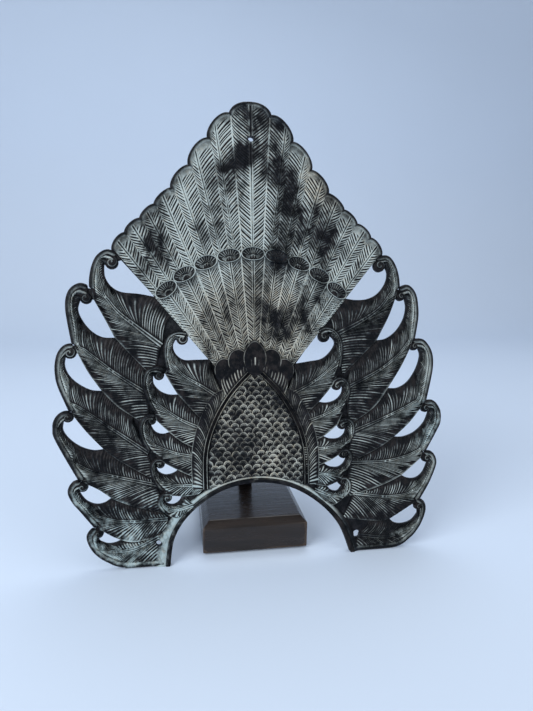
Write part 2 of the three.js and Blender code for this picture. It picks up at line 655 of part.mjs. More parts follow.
const feltBack = -FIT_GAP - FELT_THICK
const restBack = feltBack - FIT_GAP - REST_THICK
const strapHeadMiddle = restBack - FIT_GAP - STRAP_THICK / 2

// Outline of a bent strip from its middle line
function strip(line, thickness) {
  const offset = (side) => line.map((p, i) => {
    const before = (i ? p.clone().sub(line[i - 1]) : line[1].clone().sub(p)).normalize()
    const after = (i < line.length - 1 ? line[i + 1].clone().sub(p) : before.clone()).normalize()
    const normal = new THREE.Vector2(-before.y - after.y, before.x + after.x).normalize()
    const stretch = normal.dot(new THREE.Vector2(-before.y, before.x))
    return p.clone().add(normal.multiplyScalar(side * thickness / 2 / stretch))
  })
  return [...offset(-1), ...offset(1).reverse()]
}

function strap() {
  const z = blockTop + FIT_GAP + STRAP_THICK / 2
  const line = [
    new THREE.Vector2(bendY + STRAP_FOOT_LENGTH, z), new THREE.Vector2(bendY, z),
    inPlane(REST_H - STRAP_HEAD_LENGTH / 2, strapHeadMiddle), inPlane(REST_H + STRAP_HEAD_LENGTH / 2,
      strapHeadMiddle)
  ]
  const flat = new THREE.ExtrudeGeometry(outline(strip(line, STRAP_THICK)), {
    depth: STRAP_WIDTH, bevelEnabled: false
  })
  flat.rotateX(Math.PI / 2)
  flat.rotateZ(Math.PI / 2)
  flat.translate(-STRAP_WIDTH / 2, 0, 0)
  const holes = [...screwPlaces().map((y) => woodScrew(y, FIT_GAP)), restScrew(FIT_GAP)]
  return toGeometry(toSolid(flat).subtract(joined(holes)))
}

// Pan-head screw from behind, through the strap's head into the cross bar
function restScrew(clearance) {
  const { head, headThick, shank, into } = REST_SCREW
  const back = strapHeadMiddle - STRAP_THICK / 2 - FIT_GAP
  const tip = restBack + into + clearance
  const profile = [
    [0, back - headThick - clearance], [head / 2 + clearance, back - headThick - clearance],
    [head / 2 + clearance, back + clearance], [shank / 2 + clearance, back + clearance],
    [shank / 2 + clearance, tip], [0, tip]
  ].map(vec2)
  const lathe = new THREE.LatheGeometry(profile, SCREW_SIDES)
  lathe.rotateX(Math.PI / 2)
  lathe.translate(0, REST_H, 0)
  return toSolid(leanBack(lathe))
}

function box(width, tall, low, high, x) {
  const geometry = new THREE.BoxGeometry(width, tall, high - low)
  geometry.translate(x, REST_H, (low + high) / 2)
  return leanBack(geometry)
}

function crossBar() {
  return toGeometry(toSolid(box(REST_LENGTH, REST_TALL, restBack, restBack + REST_THICK, 0))
    .subtract(restScrew(FIT_GAP)))
}

function pad(x, y) {
  const geometry = new THREE.CylinderGeometry(PAD_RADIUS, PAD_RADIUS, PAD_THICK, PAD_SIDES)
  geometry.rotateX(Math.PI / 2)
  return geometry.translate(x, y, PAD_THICK / 2)
}

const BRASS = { color: 0x3a4038, roughness: 0.5, metalness: 0.8 }
const WOOD = { color: 0x2c1d16, roughness: 0.3, metalness: 0 }
const STEEL = { color: 0x1c1c1e, roughness: 0.45, metalness: 0.6 }
const SCREW = { color: 0x8a8a86, roughness: 0.35, metalness: 1 }
const FELT = { color: 0x2a2c2a, roughness: 0.95, metalness: 0 }

function named(name, geometry, look) {
  const mesh = new THREE.Mesh(geometry, new THREE.MeshStandardMaterial(look))
  mesh.name = name
  return mesh
}

function stand() {
  const group = new THREE.Group()
  group.add(named('base_block', block(), WOOD))
  group.add(named('back_strap', strap(), STEEL))
  screwPlaces().forEach((y, i) => {
    group.add(named(`strap_screw_${i + 1}`, toGeometry(woodScrew(y, 0)), SCREW))
  })
  group.add(named('cross_bar', crossBar(), STEEL))
  group.add(named('cross_bar_screw', toGeometry(restScrew(0)), SCREW))
  const feltX = REST_LENGTH / 2 - FELT_LENGTH / 2
  const felt = (x) => box(FELT_LENGTH, REST_TALL, feltBack, feltBack + FELT_THICK, x)
  group.add(named('rest_felt_left', felt(-feltX), FELT))
  group.add(named('rest_felt_right', felt(feltX), FELT))
  const padX = BLOCK_WIDTH / 2 - PAD_INSET
  const padYs = [blockFront + PAD_INSET, blockBack - PAD_INSET]
  padYs.forEach((y, row) => [-padX, padX].forEach((x, side) => {
    group.add(named(`foot_pad_${2 * row + side + 1}`, pad(x, y), FELT))
  }))
  return group
}

// Stand the object on the middle of its footprint
function centred(group) {
  const bounds = new THREE.Box3().setFromObject(group)
  const middle = bounds.getCenter(new THREE.Vector3())
  group.position.set(-middle.x, -middle.y, 0)
  return group
}

const object = new THREE.Group()
object.add(named('aureole_plaque', plaque(), BRASS))
object.add(stand())
export default centred(object)
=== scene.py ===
import math
from contextlib import contextmanager

import bpy
import numpy as np
from bpy.props import FloatProperty, FloatVectorProperty, PointerProperty
from mathutils import Matrix, Vector


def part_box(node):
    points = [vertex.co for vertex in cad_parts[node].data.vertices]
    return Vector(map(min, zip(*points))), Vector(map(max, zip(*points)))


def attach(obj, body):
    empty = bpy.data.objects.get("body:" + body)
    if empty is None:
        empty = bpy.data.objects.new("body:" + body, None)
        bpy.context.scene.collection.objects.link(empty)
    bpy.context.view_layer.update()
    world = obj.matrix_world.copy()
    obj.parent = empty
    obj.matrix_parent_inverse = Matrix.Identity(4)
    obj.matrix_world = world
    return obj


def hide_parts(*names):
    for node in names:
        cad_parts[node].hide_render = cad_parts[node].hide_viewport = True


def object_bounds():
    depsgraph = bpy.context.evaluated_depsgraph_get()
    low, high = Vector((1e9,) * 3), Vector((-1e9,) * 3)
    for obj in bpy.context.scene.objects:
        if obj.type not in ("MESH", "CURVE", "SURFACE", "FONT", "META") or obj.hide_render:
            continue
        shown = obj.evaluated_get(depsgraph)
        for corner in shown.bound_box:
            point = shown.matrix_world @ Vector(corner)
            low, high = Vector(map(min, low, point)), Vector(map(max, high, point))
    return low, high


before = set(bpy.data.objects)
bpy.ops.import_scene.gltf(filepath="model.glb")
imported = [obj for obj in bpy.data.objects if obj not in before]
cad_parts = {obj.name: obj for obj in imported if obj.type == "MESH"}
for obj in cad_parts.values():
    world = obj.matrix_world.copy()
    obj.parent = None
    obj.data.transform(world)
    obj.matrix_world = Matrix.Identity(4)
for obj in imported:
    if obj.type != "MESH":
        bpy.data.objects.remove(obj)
CAD_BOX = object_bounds()

# Arched aureole plaque, leaning on its display stand.
# The casting is drawn flat, in millimetres: across, up the plaque, and relief towards the viewer.
# It is then leant back and set down where the frame has it.
bl_info = {
    "name": "Arched aureole plaque",
    "version": (1, 0, 0),
    "blender": (4, 5, 0),
    "location": "View3D > Sidebar > Plaque",
    "description": "Models a cast and carved aureole plaque and the stand that it leans on",
    "category": "Object",
}

MM = 0.001
PLAQUE_AT = (-2.266, -50.25)  # the flat drawing's origin on the floor, across and back
UNDER = 1.0  # relief that the skirts of the carved pieces go down to, inside the plate
EDGE_GAP = 0.25  # how far a plume's carving stays inside its edge, so that neighbours share no wall
SPOT_LEVEL = 4.0  # relief that the spots of the patina are measured from
ROWS_PER_BARB = 6  # rows of points across one barb

# Relief of each ground above the back of the plate
PLUME_LEVEL = 2.7
INNER_RISE = 1.2  # inner plumes above the outer ones
LAP_DROP = 0.06  # each plume below the one above it
FAN_LEVEL = 3.9
SHORT_LEVEL = 4.7
EYE_LEVEL = 5.4
BREAST_LEVEL = 4.3
BAND_LEVEL = 6.1
LOBE_LEVEL = 5.6
FOLD_LEVEL = 7.0
INNER_RIM_HEIGHT = 6.0
OUTER_BALL_HEIGHT = 6.0
INNER_BALL_HEIGHT = 6.3

# Notches along the right edge of the fan, from its top scallop outwards, and how far each scallop bulges
FAN_CENTRE = (0, 113)
NOTCHES = [(15.5, 349.5), (31, 329), (46, 307), (60.5, 289), (74.5, 276), (85.5, 264.5), (97, 253.5),
           (106, 240.5)]
TOP_BULGE = 0.45
BULGES = [0.36, 0.37, 0.36, 0.28, 0.3, 0.33, 0.36]
SHORT_FOOT_RADIUS = 34  # where the short feathers start, behind the crest
EYE_RADIUS = 126
EYE_STEP = 8.7  # degrees from one eye to the next
EYE_STEPS = range(-4, 5)  # the nine eyes from left to right, of which 0 is in the middle
EYE_DROP = 0.47  # millimetres nearer the centre for each step squared

ARCH = [(-67.5, -2), (-63.5, 21), (-50, 39.5), (-27, 54), (0, 59), (27, 54), (50, 40), (67, 21), (76, -2)]
FOOT_OUTSIDE = (-101, 112)
BREAST_SIDE = [(0, 147), (18, 128), (31, 106), (37.5, 84), (38, 56)]
BREAST_FOOT = 56  # height that the breast's side runs down to
BORDER_OFFSET = 3.9  # from the breast's side to the outside of its borders
CREST_LINE = [(-26, 141), (-20, 149), (-10, 154), (0, 163), (10, 154), (20, 148), (25.5, 140)]
CREST_LOBES = [
    {"at": (-24, 148), "half": (8, 9.5), "lift": 0.0},
    {"at": (23.5, 147), "half": (8, 9.5), "lift": 0.0},
    {"at": (-13, 154.5), "half": (8.5, 10), "lift": 0.5},
    {"at": (13, 154.5), "half": (8.5, 10), "lift": 0.5},
    {"at": (0, 157), "half": (9.5, 14), "lift": 1.0, "point": 0.3},
]
HOLES = [(0, 330, 2.3), (-76, 17, 2.0), (81.5, 13, 2.8)]  # across, up, radius

# Each plume: the ball at its rolled tip, the bar of its rim from the ball outwards and down, its midrib from
# the tip inwards, and the gap under the tip: a straight side down from the ball, and a hollow side back up
# from its end.
OUTER_LEFT = [
    {"ball": (-108, 231, 5),
     "rim": [(-104.5, 236.5), (-111, 238.8), (-117, 235), (-120.5, 228), (-122.3, 219), (-122.5, 211)],
     "rib": [(-117, 212), (-105, 195), (-91, 183), (-77, 172)],
     "side": [(-101, 233), (-76, 205)],
     "hollow": [(-88, 207.3), (-101, 208.7), (-108.5, 213), (-113, 220.5), (-113.5, 230)]},
    {"ball": (-127, 204, 4.5),
     "rim": [(-125.5, 211.5), (-131, 213.2), (-136.5, 210), (-139.3, 204), (-139.8, 196), (-138.5, 186),
             (-135.5, 169)],
     "rib": [(-134, 170), (-122, 160), (-106, 147), (-87, 134)],
     "side": [(-121.5, 203), (-114, 189), (-106.5, 174)],
     "hollow": [(-115, 174.5), (-122.5, 178.5), (-129, 186), (-132.8, 195), (-131, 203)]},
    {"ball": (-139, 163, 4.5),
     "rim": [(-136.5, 168.2), (-142, 167), (-146, 162), (-147.7, 155), (-147.7, 147), (-145.8, 138),
             (-138, 119)],
     "rib": [(-140, 127), (-128, 119), (-110, 106), (-88, 90)],
     "side": [(-133.5, 162.5), (-126, 148), (-116.5, 134)],
     "hollow": [(-124, 134.8), (-132, 138.8), (-139, 145), (-142.8, 153), (-142, 161)]},
    {"ball": (-141, 115, 4),
     "rim": [(-139.5, 118), (-144.5, 117.2), (-148.5, 113.5), (-150.2, 107.5), (-149, 100.5), (-141, 84.5),
             (-131.5, 67)],
     "rib": [(-138, 83), (-126, 75), (-106, 69), (-83, 63)],
     "side": [(-136.5, 115), (-127, 102.5), (-115.5, 90)],
     "hollow": [(-123, 89.5), (-132, 92.5), (-140, 98.5), (-144.8, 106), (-143.5, 114)]},
    {"ball": (-131, 62.5, 3.8),
     "rim": [(-132.5, 66.3), (-137, 65), (-139.8, 59.5), (-137, 52.5), (-131.5, 45.5), (-121, 32)],
     "rib": [(-128, 45), (-117, 39), (-100, 35), (-76, 35)],
     "side": [(-127, 64), (-119, 59.5), (-110.5, 53)],
     "hollow": [(-116, 49.6), (-122.5, 49.2), (-129, 52.5), (-133.5, 59), (-133, 62)]},
    {"ball": (-120, 27, 3.5),
     "rim": [(-122.5, 31), (-126.7, 25.5), (-124.8, 18.5), (-120.5, 12.5), (-113, 7), (-101, 2.4),
             (-71, 1.6)],
     "rib": [(-119, 15), (-106, 13), (-94, 14), (-82, 19)],
     "side": [(-117.5, 29), (-110.5, 24.5), (-103.5, 21)],
     "hollow": [(-108, 19.2), (-113.5, 18.8), (-119, 21), (-121.5, 26)]},
]
OUTER_RIGHT = [
    {"ball": (105, 231, 5),
     "rim": [(102.5, 236.5), (110.5, 237.8), (114.8, 235), (118, 229), (120, 221), (120.5, 212)],
     "rib": [(116, 212), (105, 197), (89, 186), (71, 177)],
     "side": [(99.5, 233), (74, 204.5)],
     "hollow": [(84, 203), (94, 203.8), (103, 208), (110, 216.5), (112, 225), (109.5, 231)]},
    {"ball": (123, 206, 3.8),
     "rim": [(122, 211.5), (128, 213.7), (132, 211.5), (135, 206.5), (136.2, 199), (136.2, 188),
             (132.5, 169)],
     "rib": [(131, 173), (122, 160), (104, 146), (80, 134)],
     "side": [(118, 203.5), (112, 189), (101.5, 170)],
     "hollow": [(110, 171.3), (119, 177.5), (125.5, 187), (128, 197), (126.5, 205)]},
    {"ball": (134, 164.5, 3.4),
     "rim": [(133.5, 168.8), (140.5, 168.7), (144.5, 165.2), (147.8, 159), (148.7, 151), (147.2, 140.5),
             (141.5, 118)],
     "rib": [(140, 125), (130, 117), (108, 107), (84, 98)],
     "side": [(130.5, 163.5), (122.5, 148.5), (110.5, 130.5)],
     "hollow": [(119.5, 130.5), (128.5, 135.5), (136, 146), (139.5, 157), (137.2, 164)]},
    {"ball": (143, 113, 3.4),
     "rim": [(142.5, 117.5), (148.5, 117.7), (152.3, 114.2), (154.7, 108.5), (154.2, 101.5), (151, 95),
             (140, 77)],
     "rib": [(142, 84), (130, 76), (108, 71), (83, 71)],
     "side": [(139, 113.5), (128, 101), (115, 90.3)],
     "hollow": [(123.5, 90), (133.5, 93.5), (142, 101), (146.3, 110.5), (146, 113)]},
    {"ball": (143, 71.5, 3.4),
     "rim": [(141.5, 76), (146.5, 75.2), (149.4, 71), (149.3, 65), (143, 51.5), (133.5, 37)],
     "rib": [(137, 50), (124, 43), (106, 42), (86, 45)],
     "side": [(137.5, 71.5), (130, 65.5), (121, 58.5)],
     "hollow": [(127, 55.6), (134, 55.4), (140, 59.5), (143.7, 66.5), (145, 71)]},
    {"ball": (135, 32, 3),
     "rim": [(134, 37.5), (138.5, 34.7), (139.6, 30), (138, 24), (133.3, 15.5), (125.8, 8), (113, 2),
             (79.5, 1.6)],
     "rib": [(131, 17), (118, 11), (104, 9), (90, 11)],
     "side": [(129.5, 34), (120, 28.7), (110, 23.3)],
     "hollow": [(115, 19.3), (122.5, 18.5), (130, 21), (136, 28), (136.5, 32)]},
]
INNER_LEFT = [
    {"ball": (-56, 172.5, 4.5),
     "rim": [(-52, 176.5), (-58.5, 177.3), (-65, 175), (-68.5, 169), (-69.3, 160), (-68, 150)],
     "rib": [(-65, 156), (-56, 145), (-42, 136), (-30, 128)],
     "side": [(-51, 174.5), (-36, 156.5)],
     "hollow": [(-46, 156.3), (-55, 156.5), (-61, 161), (-63, 167.5), (-60.5, 172.5)]},
    {"ball": (-74, 145, 4),
     "rim": [(-70, 149.5), (-76, 150.8), (-82, 148.5), (-85, 143), (-85, 136), (-82, 126.5), (-78, 117)],
     "rib": [(-80, 128), (-70, 119), (-57, 110), (-44, 104)],
     "side": [(-69.5, 146), (-65, 138), (-60, 129.7)],
     "hollow": [(-67, 130), (-73.5, 133), (-78, 138.5), (-78.3, 145)]},
    {"ball": (-80, 110.5, 3.5),
     "rim": [(-77, 114.5), (-82.5, 114.5), (-87, 110.5), (-88.3, 104), (-86.5, 96), (-82, 87)],
     "rib": [(-83, 96), (-74, 90), (-62, 85), (-49, 82)],
     "side": [(-76.5, 110.5), (-71.5, 105.5), (-66.8, 101)],
     "hollow": [(-72, 99.8), (-77.5, 102), (-81, 108), (-81, 110)]},
    {"ball": (-74, 77, 3.5),
     "rim": [(-71, 80.5), (-76.5, 80.7), (-80, 77), (-80.5, 71.5), (-78, 64), (-73, 56.5)],
     "rib": [(-76, 65), (-68, 62), (-59, 60), (-49, 60)],
     "side": [(-70.5, 77.5), (-65.5, 74.5), (-60.5, 71.7)],
     "hollow": [(-65.5, 69), (-71, 68.7), (-75.5, 71.5), (-77.3, 76.5)]},
    {"ball": (-69, 51, 3.5),
     "rim": [(-67, 54), (-72, 54), (-75, 50.5), (-75, 45.5), (-71, 39.5)],
     "rib": [(-71, 44), (-66, 42), (-61, 41.5), (-57, 42.5)],
     "side": [(-66, 52.5), (-58, 51.7)],
     "hollow": [(-60.5, 47.5), (-65, 45.5), (-70, 47), (-71.5, 50.5)]},
]
INNER_RIGHT = [
    {"ball": (57, 173.5, 4.8),
     "rim": [(52, 178), (57.5, 180.3), (64.5, 178.5), (69.5, 173), (71.5, 165), (71, 156), (69.5, 148)],
     "rib": [(68, 156), (58, 145), (45, 136), (31, 129)],
     "side": [(51.5, 176), (33.5, 152)],
     "hollow": [(44, 153.5), (55, 155.5), (62.5, 161.5), (66, 168.5), (62, 174)]},
    {"ball": (67, 133.5, 3.8),
     "rim": [(63, 137), (67.5, 139.8), (72.5, 139), (76.3, 134.5), (77, 128), (75, 120)],
     "rib": [(74, 123), (66, 116), (54, 110), (42, 106)],
     "side": [(63.5, 134.5), (58, 128), (51.5, 121)],
     "hollow": [(58.5, 120), (66, 122), (71, 127), (72, 133)]},
    {"ball": (71, 101.5, 3.6),
     "rim": [(68, 105), (72.5, 106.6), (77.5, 105.5), (80.3, 101), (80, 95), (76, 87)],
     "rib": [(77, 89), (67, 86), (56, 84), (45, 84)],
     "side": [(67, 102.5), (61, 97.5), (55, 93.3)],
     "hollow": [(60.5, 91), (68, 91), (73, 95), (74, 101)]},
    {"ball": (71.5, 78, 3.5),
     "rim": [(69, 81), (73.5, 81.8), (77.3, 78.5), (77.5, 72.5), (73.5, 66)],
     "rib": [(74, 67), (66, 64), (57, 63), (48, 64)],
     "side": [(67.5, 78), (61.5, 74.5), (55, 71.7)],
     "hollow": [(60.5, 68.3), (67.5, 67.8), (72.5, 71.5), (75, 77.5)]},
    {"ball": (70, 56, 3.2),
     "rim": [(68, 58.8), (72.5, 59), (76, 55.5), (76, 49), (71, 43.5)],
     "rib": [(72, 47), (66, 45), (60, 45.5), (54, 48)],
     "side": [(67.5, 57), (57.5, 53)],
     "hollow": [(61, 49.5), (66, 48.5), (69.5, 52), (71.5, 56)]},
]
# Where each plume laps over the next, inwards from the foot of a gap. The first line of a wing is the top of
# its first plume, and the last, which starts at the end of the last rim, is the foot of the wing.
SEAMS = {
    "outer_left": [
        [(-66, 192), (-55, 178)], [(-95, 161), (-78, 143)],
        [(-104, 121), (-82, 106)], [(-103, 80), (-75, 63)],
        [(-96, 46.5), (-70, 39)], [(-92, 19), (-66, 24)], [(-68, 2)]],
    "outer_right": [
        [(64, 193), (52, 180)], [(88, 157), (72, 142)],
        [(98, 115), (76, 101)], [(100, 81), (74, 70)],
        [(103, 51), (72, 43)], [(97, 22.5), (70, 27)], [(75, 3)]],
    "inner_left": [
        [(-30, 151), (-24, 145)], [(-49, 117), (-38, 106)],
        [(-57, 93), (-43, 86)], [(-52, 67.5), (-42, 65)],
        [(-51, 52), (-44, 53)], [(-62, 35), (-53, 41)]],
    "inner_right": [
        [(29, 148), (23, 142)], [(44, 114), (36, 105)],
        [(48, 90), (40, 85)], [(49, 69.5), (41, 66)],
        [(50, 54.5), (43, 56)], [(62, 38), (53, 43)]],
}
WINGS = {"outer_left": OUTER_LEFT, "outer_right": OUTER_RIGHT,
         "inner_left": INNER_LEFT, "inner_right": INNER_RIGHT}

# Places of the patina: across, up, and how far each reaches. Dark and oily, wiped bare, of cream-coloured old
# wax, and under a pale haze: a bloom with a painted reflection of the light in it.
OILY = [(-8, 347, 24), (4, 345, 16), (-22, 311, 22), (-10, 316, 18), (6, 318, 26), (18, 304, 30),
        (30, 290, 28), (24, 268, 26), (25, 256, 24), (24, 244, 22), (54, 270, 26), (60, 260, 18),
        (58, 241, 24), (42, 262, 26), (22, 231, 20), (-38, 266, 30), (-32, 250, 22), (-72, 246, 30),
        (-58, 232, 24), (14, 190, 28), (20, 176, 22), (-36, 190, 28), (46, 202, 26), (36, 182, 24),
        (112, 20, 56), (96, 30, 30), (98, 8, 36), (128, 140, 34)]
WIPED = [(-10, 285, 34), (40, 306, 26), (-50, 285, 28), (44, 236, 20), (34, 212, 20), (8, 262, 22),
         (-84, 236, 16), (-92, 12, 44)]
CREAM = [(0, 176, 70), (0, 96, 70), (62, 300, 34)]
HAZE_AND_REFLECTION = [(-98, 14, 70), (-58, 40, 38), (0, 66, 12), (60, 52, 26), (140, 104, 34), (-136, 44, 38)]


def distance_property(name, description, default):
    """A size that is given in millimetres and kept in metres."""
    return FloatProperty(name=name, description=description, default=default * MM,
                         subtype="DISTANCE", unit="LENGTH")


def angle_property(name, description, degrees):
    return FloatProperty(name=name, description=description, default=math.radians(degrees),
                         subtype="ANGLE", unit="ROTATION")


def colour_property(name, description, *default):
    return FloatVectorProperty(name=name, description=description, default=default,
                               subtype="COLOR", size=3, min=0, max=1)


class PlaqueSizes(bpy.types.PropertyGroup):
    """Sizes of the casting and of its carving."""

    lean: angle_property("Lean", "How far the plaque leans back", 10.6)
    plate: distance_property("Plate", "Thickness of the pierced plate", 3)
    rim_width: distance_property("Rim width", "Width of the bar round the fan and the outer plumes", 4.4)
    rim_height: distance_property("Rim height", "Height of that bar", 5.3)
    inner_rim: distance_property("Inner rim", "Width of the bar round the inner plumes", 3)
    arch_rim: distance_property("Arch rim", "Width of the square bar along the arch", 3.4)
    plume_barb: distance_property("Plume barb", "Spacing of the barbs on the plumes", 2)
    fan_barb: distance_property("Fan barb", "Spacing of the cuts on the fan's feathers", 2.6)
    barb_depth: distance_property("Barb depth", "Depth of the cuts between barbs", 0.5)
    scale_width: distance_property("Scale width", "Width of a scale on the breast", 6.6)
    scale_row: distance_property("Scale row", "Rise from one row of scales to the next", 3.6)
    eye_long: distance_property("Eye length", "Length of the oval eyes of the short feathers", 19.6)
    eye_short: distance_property("Eye height", "Height of the oval eyes", 11.2)


class StandSizes(bpy.types.PropertyGroup):
    """Sizes of the stand's block."""

    chamfer: distance_property("Block chamfer", "Slope round the top of the block", 5)
    worn_edge: distance_property("Worn edge", "Roundness of the block's rubbed edges", 0.7)


class Colours(bpy.types.PropertyGroup):
    """Colours of the finishes."""

    patina: colour_property("Patina", "Dark skin of the brass", 0.0028, 0.0037, 0.0052)
    rubbed: colour_property("Rubbed", "Pale wax on the ridges", 0.50, 0.56, 0.54)
    # A pale bloom on the metal, which also serves as a painted reflection of the light on it
    bloom_and_reflection: colour_property("Bloom", "Blue-green haze along the arch and the rims", 0.42, 0.52, 0.53)
    cream: colour_property("Cream", "Old wax on the lower feathers and the breast", 0.50, 0.42, 0.30)
    dirt: colour_property("Dirt", "Brown wax left in the grooves", 0.085, 0.052, 0.028)
    wood: colour_property("Wood", "Dark stain of the block", 0.011, 0.0075, 0.006)
    wood_worn: colour_property("Worn wood", "Block where its stain has rubbed through", 0.11, 0.066, 0.04)
    steel: colour_property("Black steel", "Strap and cross bar", 0.022, 0.023, 0.025)
    steel_worn: colour_property("Worn steel", "Strap and bar where their enamel is thin", 0.12, 0.11, 0.10)
    screw: colour_property("Screw steel", "Screws", 0.42, 0.41, 0.39)
    felt: colour_property("Felt", "Pads", 0.030, 0.034, 0.032)
    floor: colour_property("Floor", "Floor and backdrop", 0.665, 0.755, 0.885)
    sky: colour_property("Sky", "Light from all round", 0.80, 0.88, 1.0)


class CameraPlace(bpy.types.PropertyGroup):
    """Where the camera stands."""

    place: FloatVectorProperty(name="Place", description="Place of the camera", size=3, subtype="TRANSLATION",
                               unit="LENGTH", default=(-0.06272, -0.43467, 0.23057))
    turn: angle_property("Turn", "Turn of the camera to the right", 9.71)
    tilt: angle_property("Tilt", "Tilt of the camera, downwards", 10.07)
    roll: angle_property("Roll", "Roll of the camera", 0.84)
    lens: FloatProperty(name="Lens", description="Focal length on a 36 mm sensor, in millimetres",
                        default=27.04)


def sizes():
    return bpy.context.scene.plaque_sizes


def mm(length):
    """A size that the user sets in metres, in the drawing's millimetres."""
    return length / MM


def smoothstep(low, high, value):
    share = np.clip((np.asarray(value, float) - low) / (high - low), 0, 1)
    return share * share * (3 - 2 * share)


def bump(value, middle, width):
    """A soft ridge of height 1 where the value is at the middle."""
    return np.exp(-((value - middle) / width)**2)


def waves(turns):
    """1 at each whole turn, and 0 half-way between two."""
    return 0.5 + 0.5 * np.cos(2 * math.pi * turns)


def steps_of(line):
    return np.linalg.norm(np.diff(line, axis=0), axis=1)


def distances(line):
    """How far each point of a line is from its start, along the line."""
    return np.concatenate([[0], np.cumsum(steps_of(line))])


def length_of(line):
    return float(steps_of(line).sum())


def at_shares(line, shares):
    """Points of a line at the given shares of its length."""
    along = distances(line)
    where = np.asarray(shares, float) * along[-1]
    return np.stack([np.interp(where, along, line[:, axis]) for axis in range(line.shape[1])], -1)


def smooth(points, step=0.8):
    """Even steps along the smooth curve through a few points."""
    points = np.array(points, float)
    if len(points) == 2:
        line = points
    else:
        padded = np.vstack([points[:1], points, points[-1:]])
        t = np.linspace(0, 1, 24, endpoint=False)[:, None]
        spans = []
        for before, start, end, after in zip(padded, padded[1:], padded[2:], padded[3:]):
            leave = (end - before) / 2
            arrive = (after - start) / 2
            spans.append((2 * t**3 - 3 * t**2 + 1) * start + (t**3 - 2 * t**2 + t) * leave
                         + (3 * t**2 - 2 * t**3) * end + (t**3 - t**2) * arrive)
        line = np.vstack(spans + [points[-1:]])
    return at_shares(line, np.linspace(0, 1, max(3, round(length_of(line) / step) + 1)))


def chained(*lines):
    """One line out of several that meet end to start."""
    return np.vstack([lines[0]] + [line[1:] for line in lines[1:]])


def normals_of(line):
    """Unit vectors to the left of a line."""
    along = np.gradient(line, axis=0)
    along /= np.maximum(np.linalg.norm(along, axis=1), 1e-9)[:, None]
    return np.stack([-along[:, 1], along[:, 0]], -1)


def clockwise(ways):
    """Vectors turned by a quarter to the right."""
    return np.stack([ways[:, 1], -ways[:, 0]], -1)


def with_relief(flat, relief):
    """The drawing's points across and up, each with its relief."""
    return np.concatenate([flat, relief[..., None]], 2)


def leaned(flat):
    """The flat drawing's points (across, up, relief; millimetres) on the leaning plaque, in metres."""
    flat = np.asarray(flat, float)
    sine, cosine = math.sin(sizes().lean), math.cos(sizes().lean)
    x, h, r = flat[..., 0], flat[..., 1], flat[..., 2]
    y = h * sine - r * cosine
    z = h * cosine + r * sine
    return np.stack([x + PLAQUE_AT[0], y + PLAQUE_AT[1], z], -1) * MM


def deselect():
    if bpy.context.object and bpy.context.object.mode != "OBJECT":
        bpy.ops.object.mode_set(mode="OBJECT")
    bpy.ops.object.select_all(action="DESELECT")


def only(piece):
    deselect()
    piece.select_set(True)
    bpy.context.view_layer.objects.active = piece


@contextmanager
def editing(piece):
    """Edit mode on one piece, with all of it selected at first."""
    only(piece)
    bpy.ops.object.mode_set(mode="EDIT")
    bpy.ops.mesh.select_all(action="SELECT")
    yield
    bpy.ops.object.mode_set(mode="OBJECT")


def called(piece, name):
    piece.name = piece.data.name = name
    return piece


def linked(name, data):
    """A new object of the given data, in the scene."""
    made = bpy.data.objects.new(name, data)
    bpy.context.scene.collection.objects.link(made)
    return made


def recalculated(piece):
    with editing(piece):
        bpy.ops.mesh.normals_make_consistent(inside=False)
    return piece


def smoothed(piece, degrees):
    """Turns a piece's normals outwards and shades it smooth, but for edges sharper than the given angle."""
    recalculated(piece)
    bpy.ops.object.shade_smooth_by_angle(angle=math.radians(degrees))
    return piece


def welded(piece, gap=0.01):
    """Joins points that lie within a gap, such as the seam and the poles of a grid that runs right round."""
    with editing(piece):
        bpy.ops.mesh.remove_doubles(threshold=gap)
    return recalculated(piece)


def set_wear_and_light(piece, wear_and_light):
    """Writes how pale each point of a piece is, from 0 in the grooves to 1 on the ridges: mostly rubbed wax,
    with some painted shade and highlight.
    """
    layer = piece.data.attributes.new("wear_and_light", "FLOAT", "POINT")
    layer.data.foreach_set("value", np.ascontiguousarray(wear_and_light, np.float32).ravel())


def carved(name, flat, wear_and_light, under=UNDER):
    """A carved face: a grid pressed into shape, whose skirt is drawn down into the plate and closed."""
    rows, columns = flat.shape[:2]
    deselect()
    bpy.ops.mesh.primitive_grid_add(x_subdivisions=columns - 1, y_subdivisions=rows - 1, size=1)
    piece = called(bpy.context.object, name)
    piece.data.vertices.foreach_set("co", np.ascontiguousarray(flat, np.float32).ravel())
    with editing(piece):
        bpy.ops.mesh.select_mode(type="EDGE")
        bpy.ops.mesh.region_to_loop()
        bpy.ops.mesh.extrude_edges_move()
    top = rows * columns
    for vertex in piece.data.vertices[top:]:
        vertex.co.z = under
    bpy.ops.object.mode_set(mode="EDIT")
    bpy.ops.mesh.edge_face_add()
    bpy.ops.mesh.select_mode(type="VERT")
    bpy.ops.object.mode_set(mode="OBJECT")
    whole = np.zeros(len(piece.data.vertices))
    whole[:top] = np.clip(wear_and_light, 0, 1).ravel()
    set_wear_and_light(piece, whole)
    return smoothed(piece, 75)


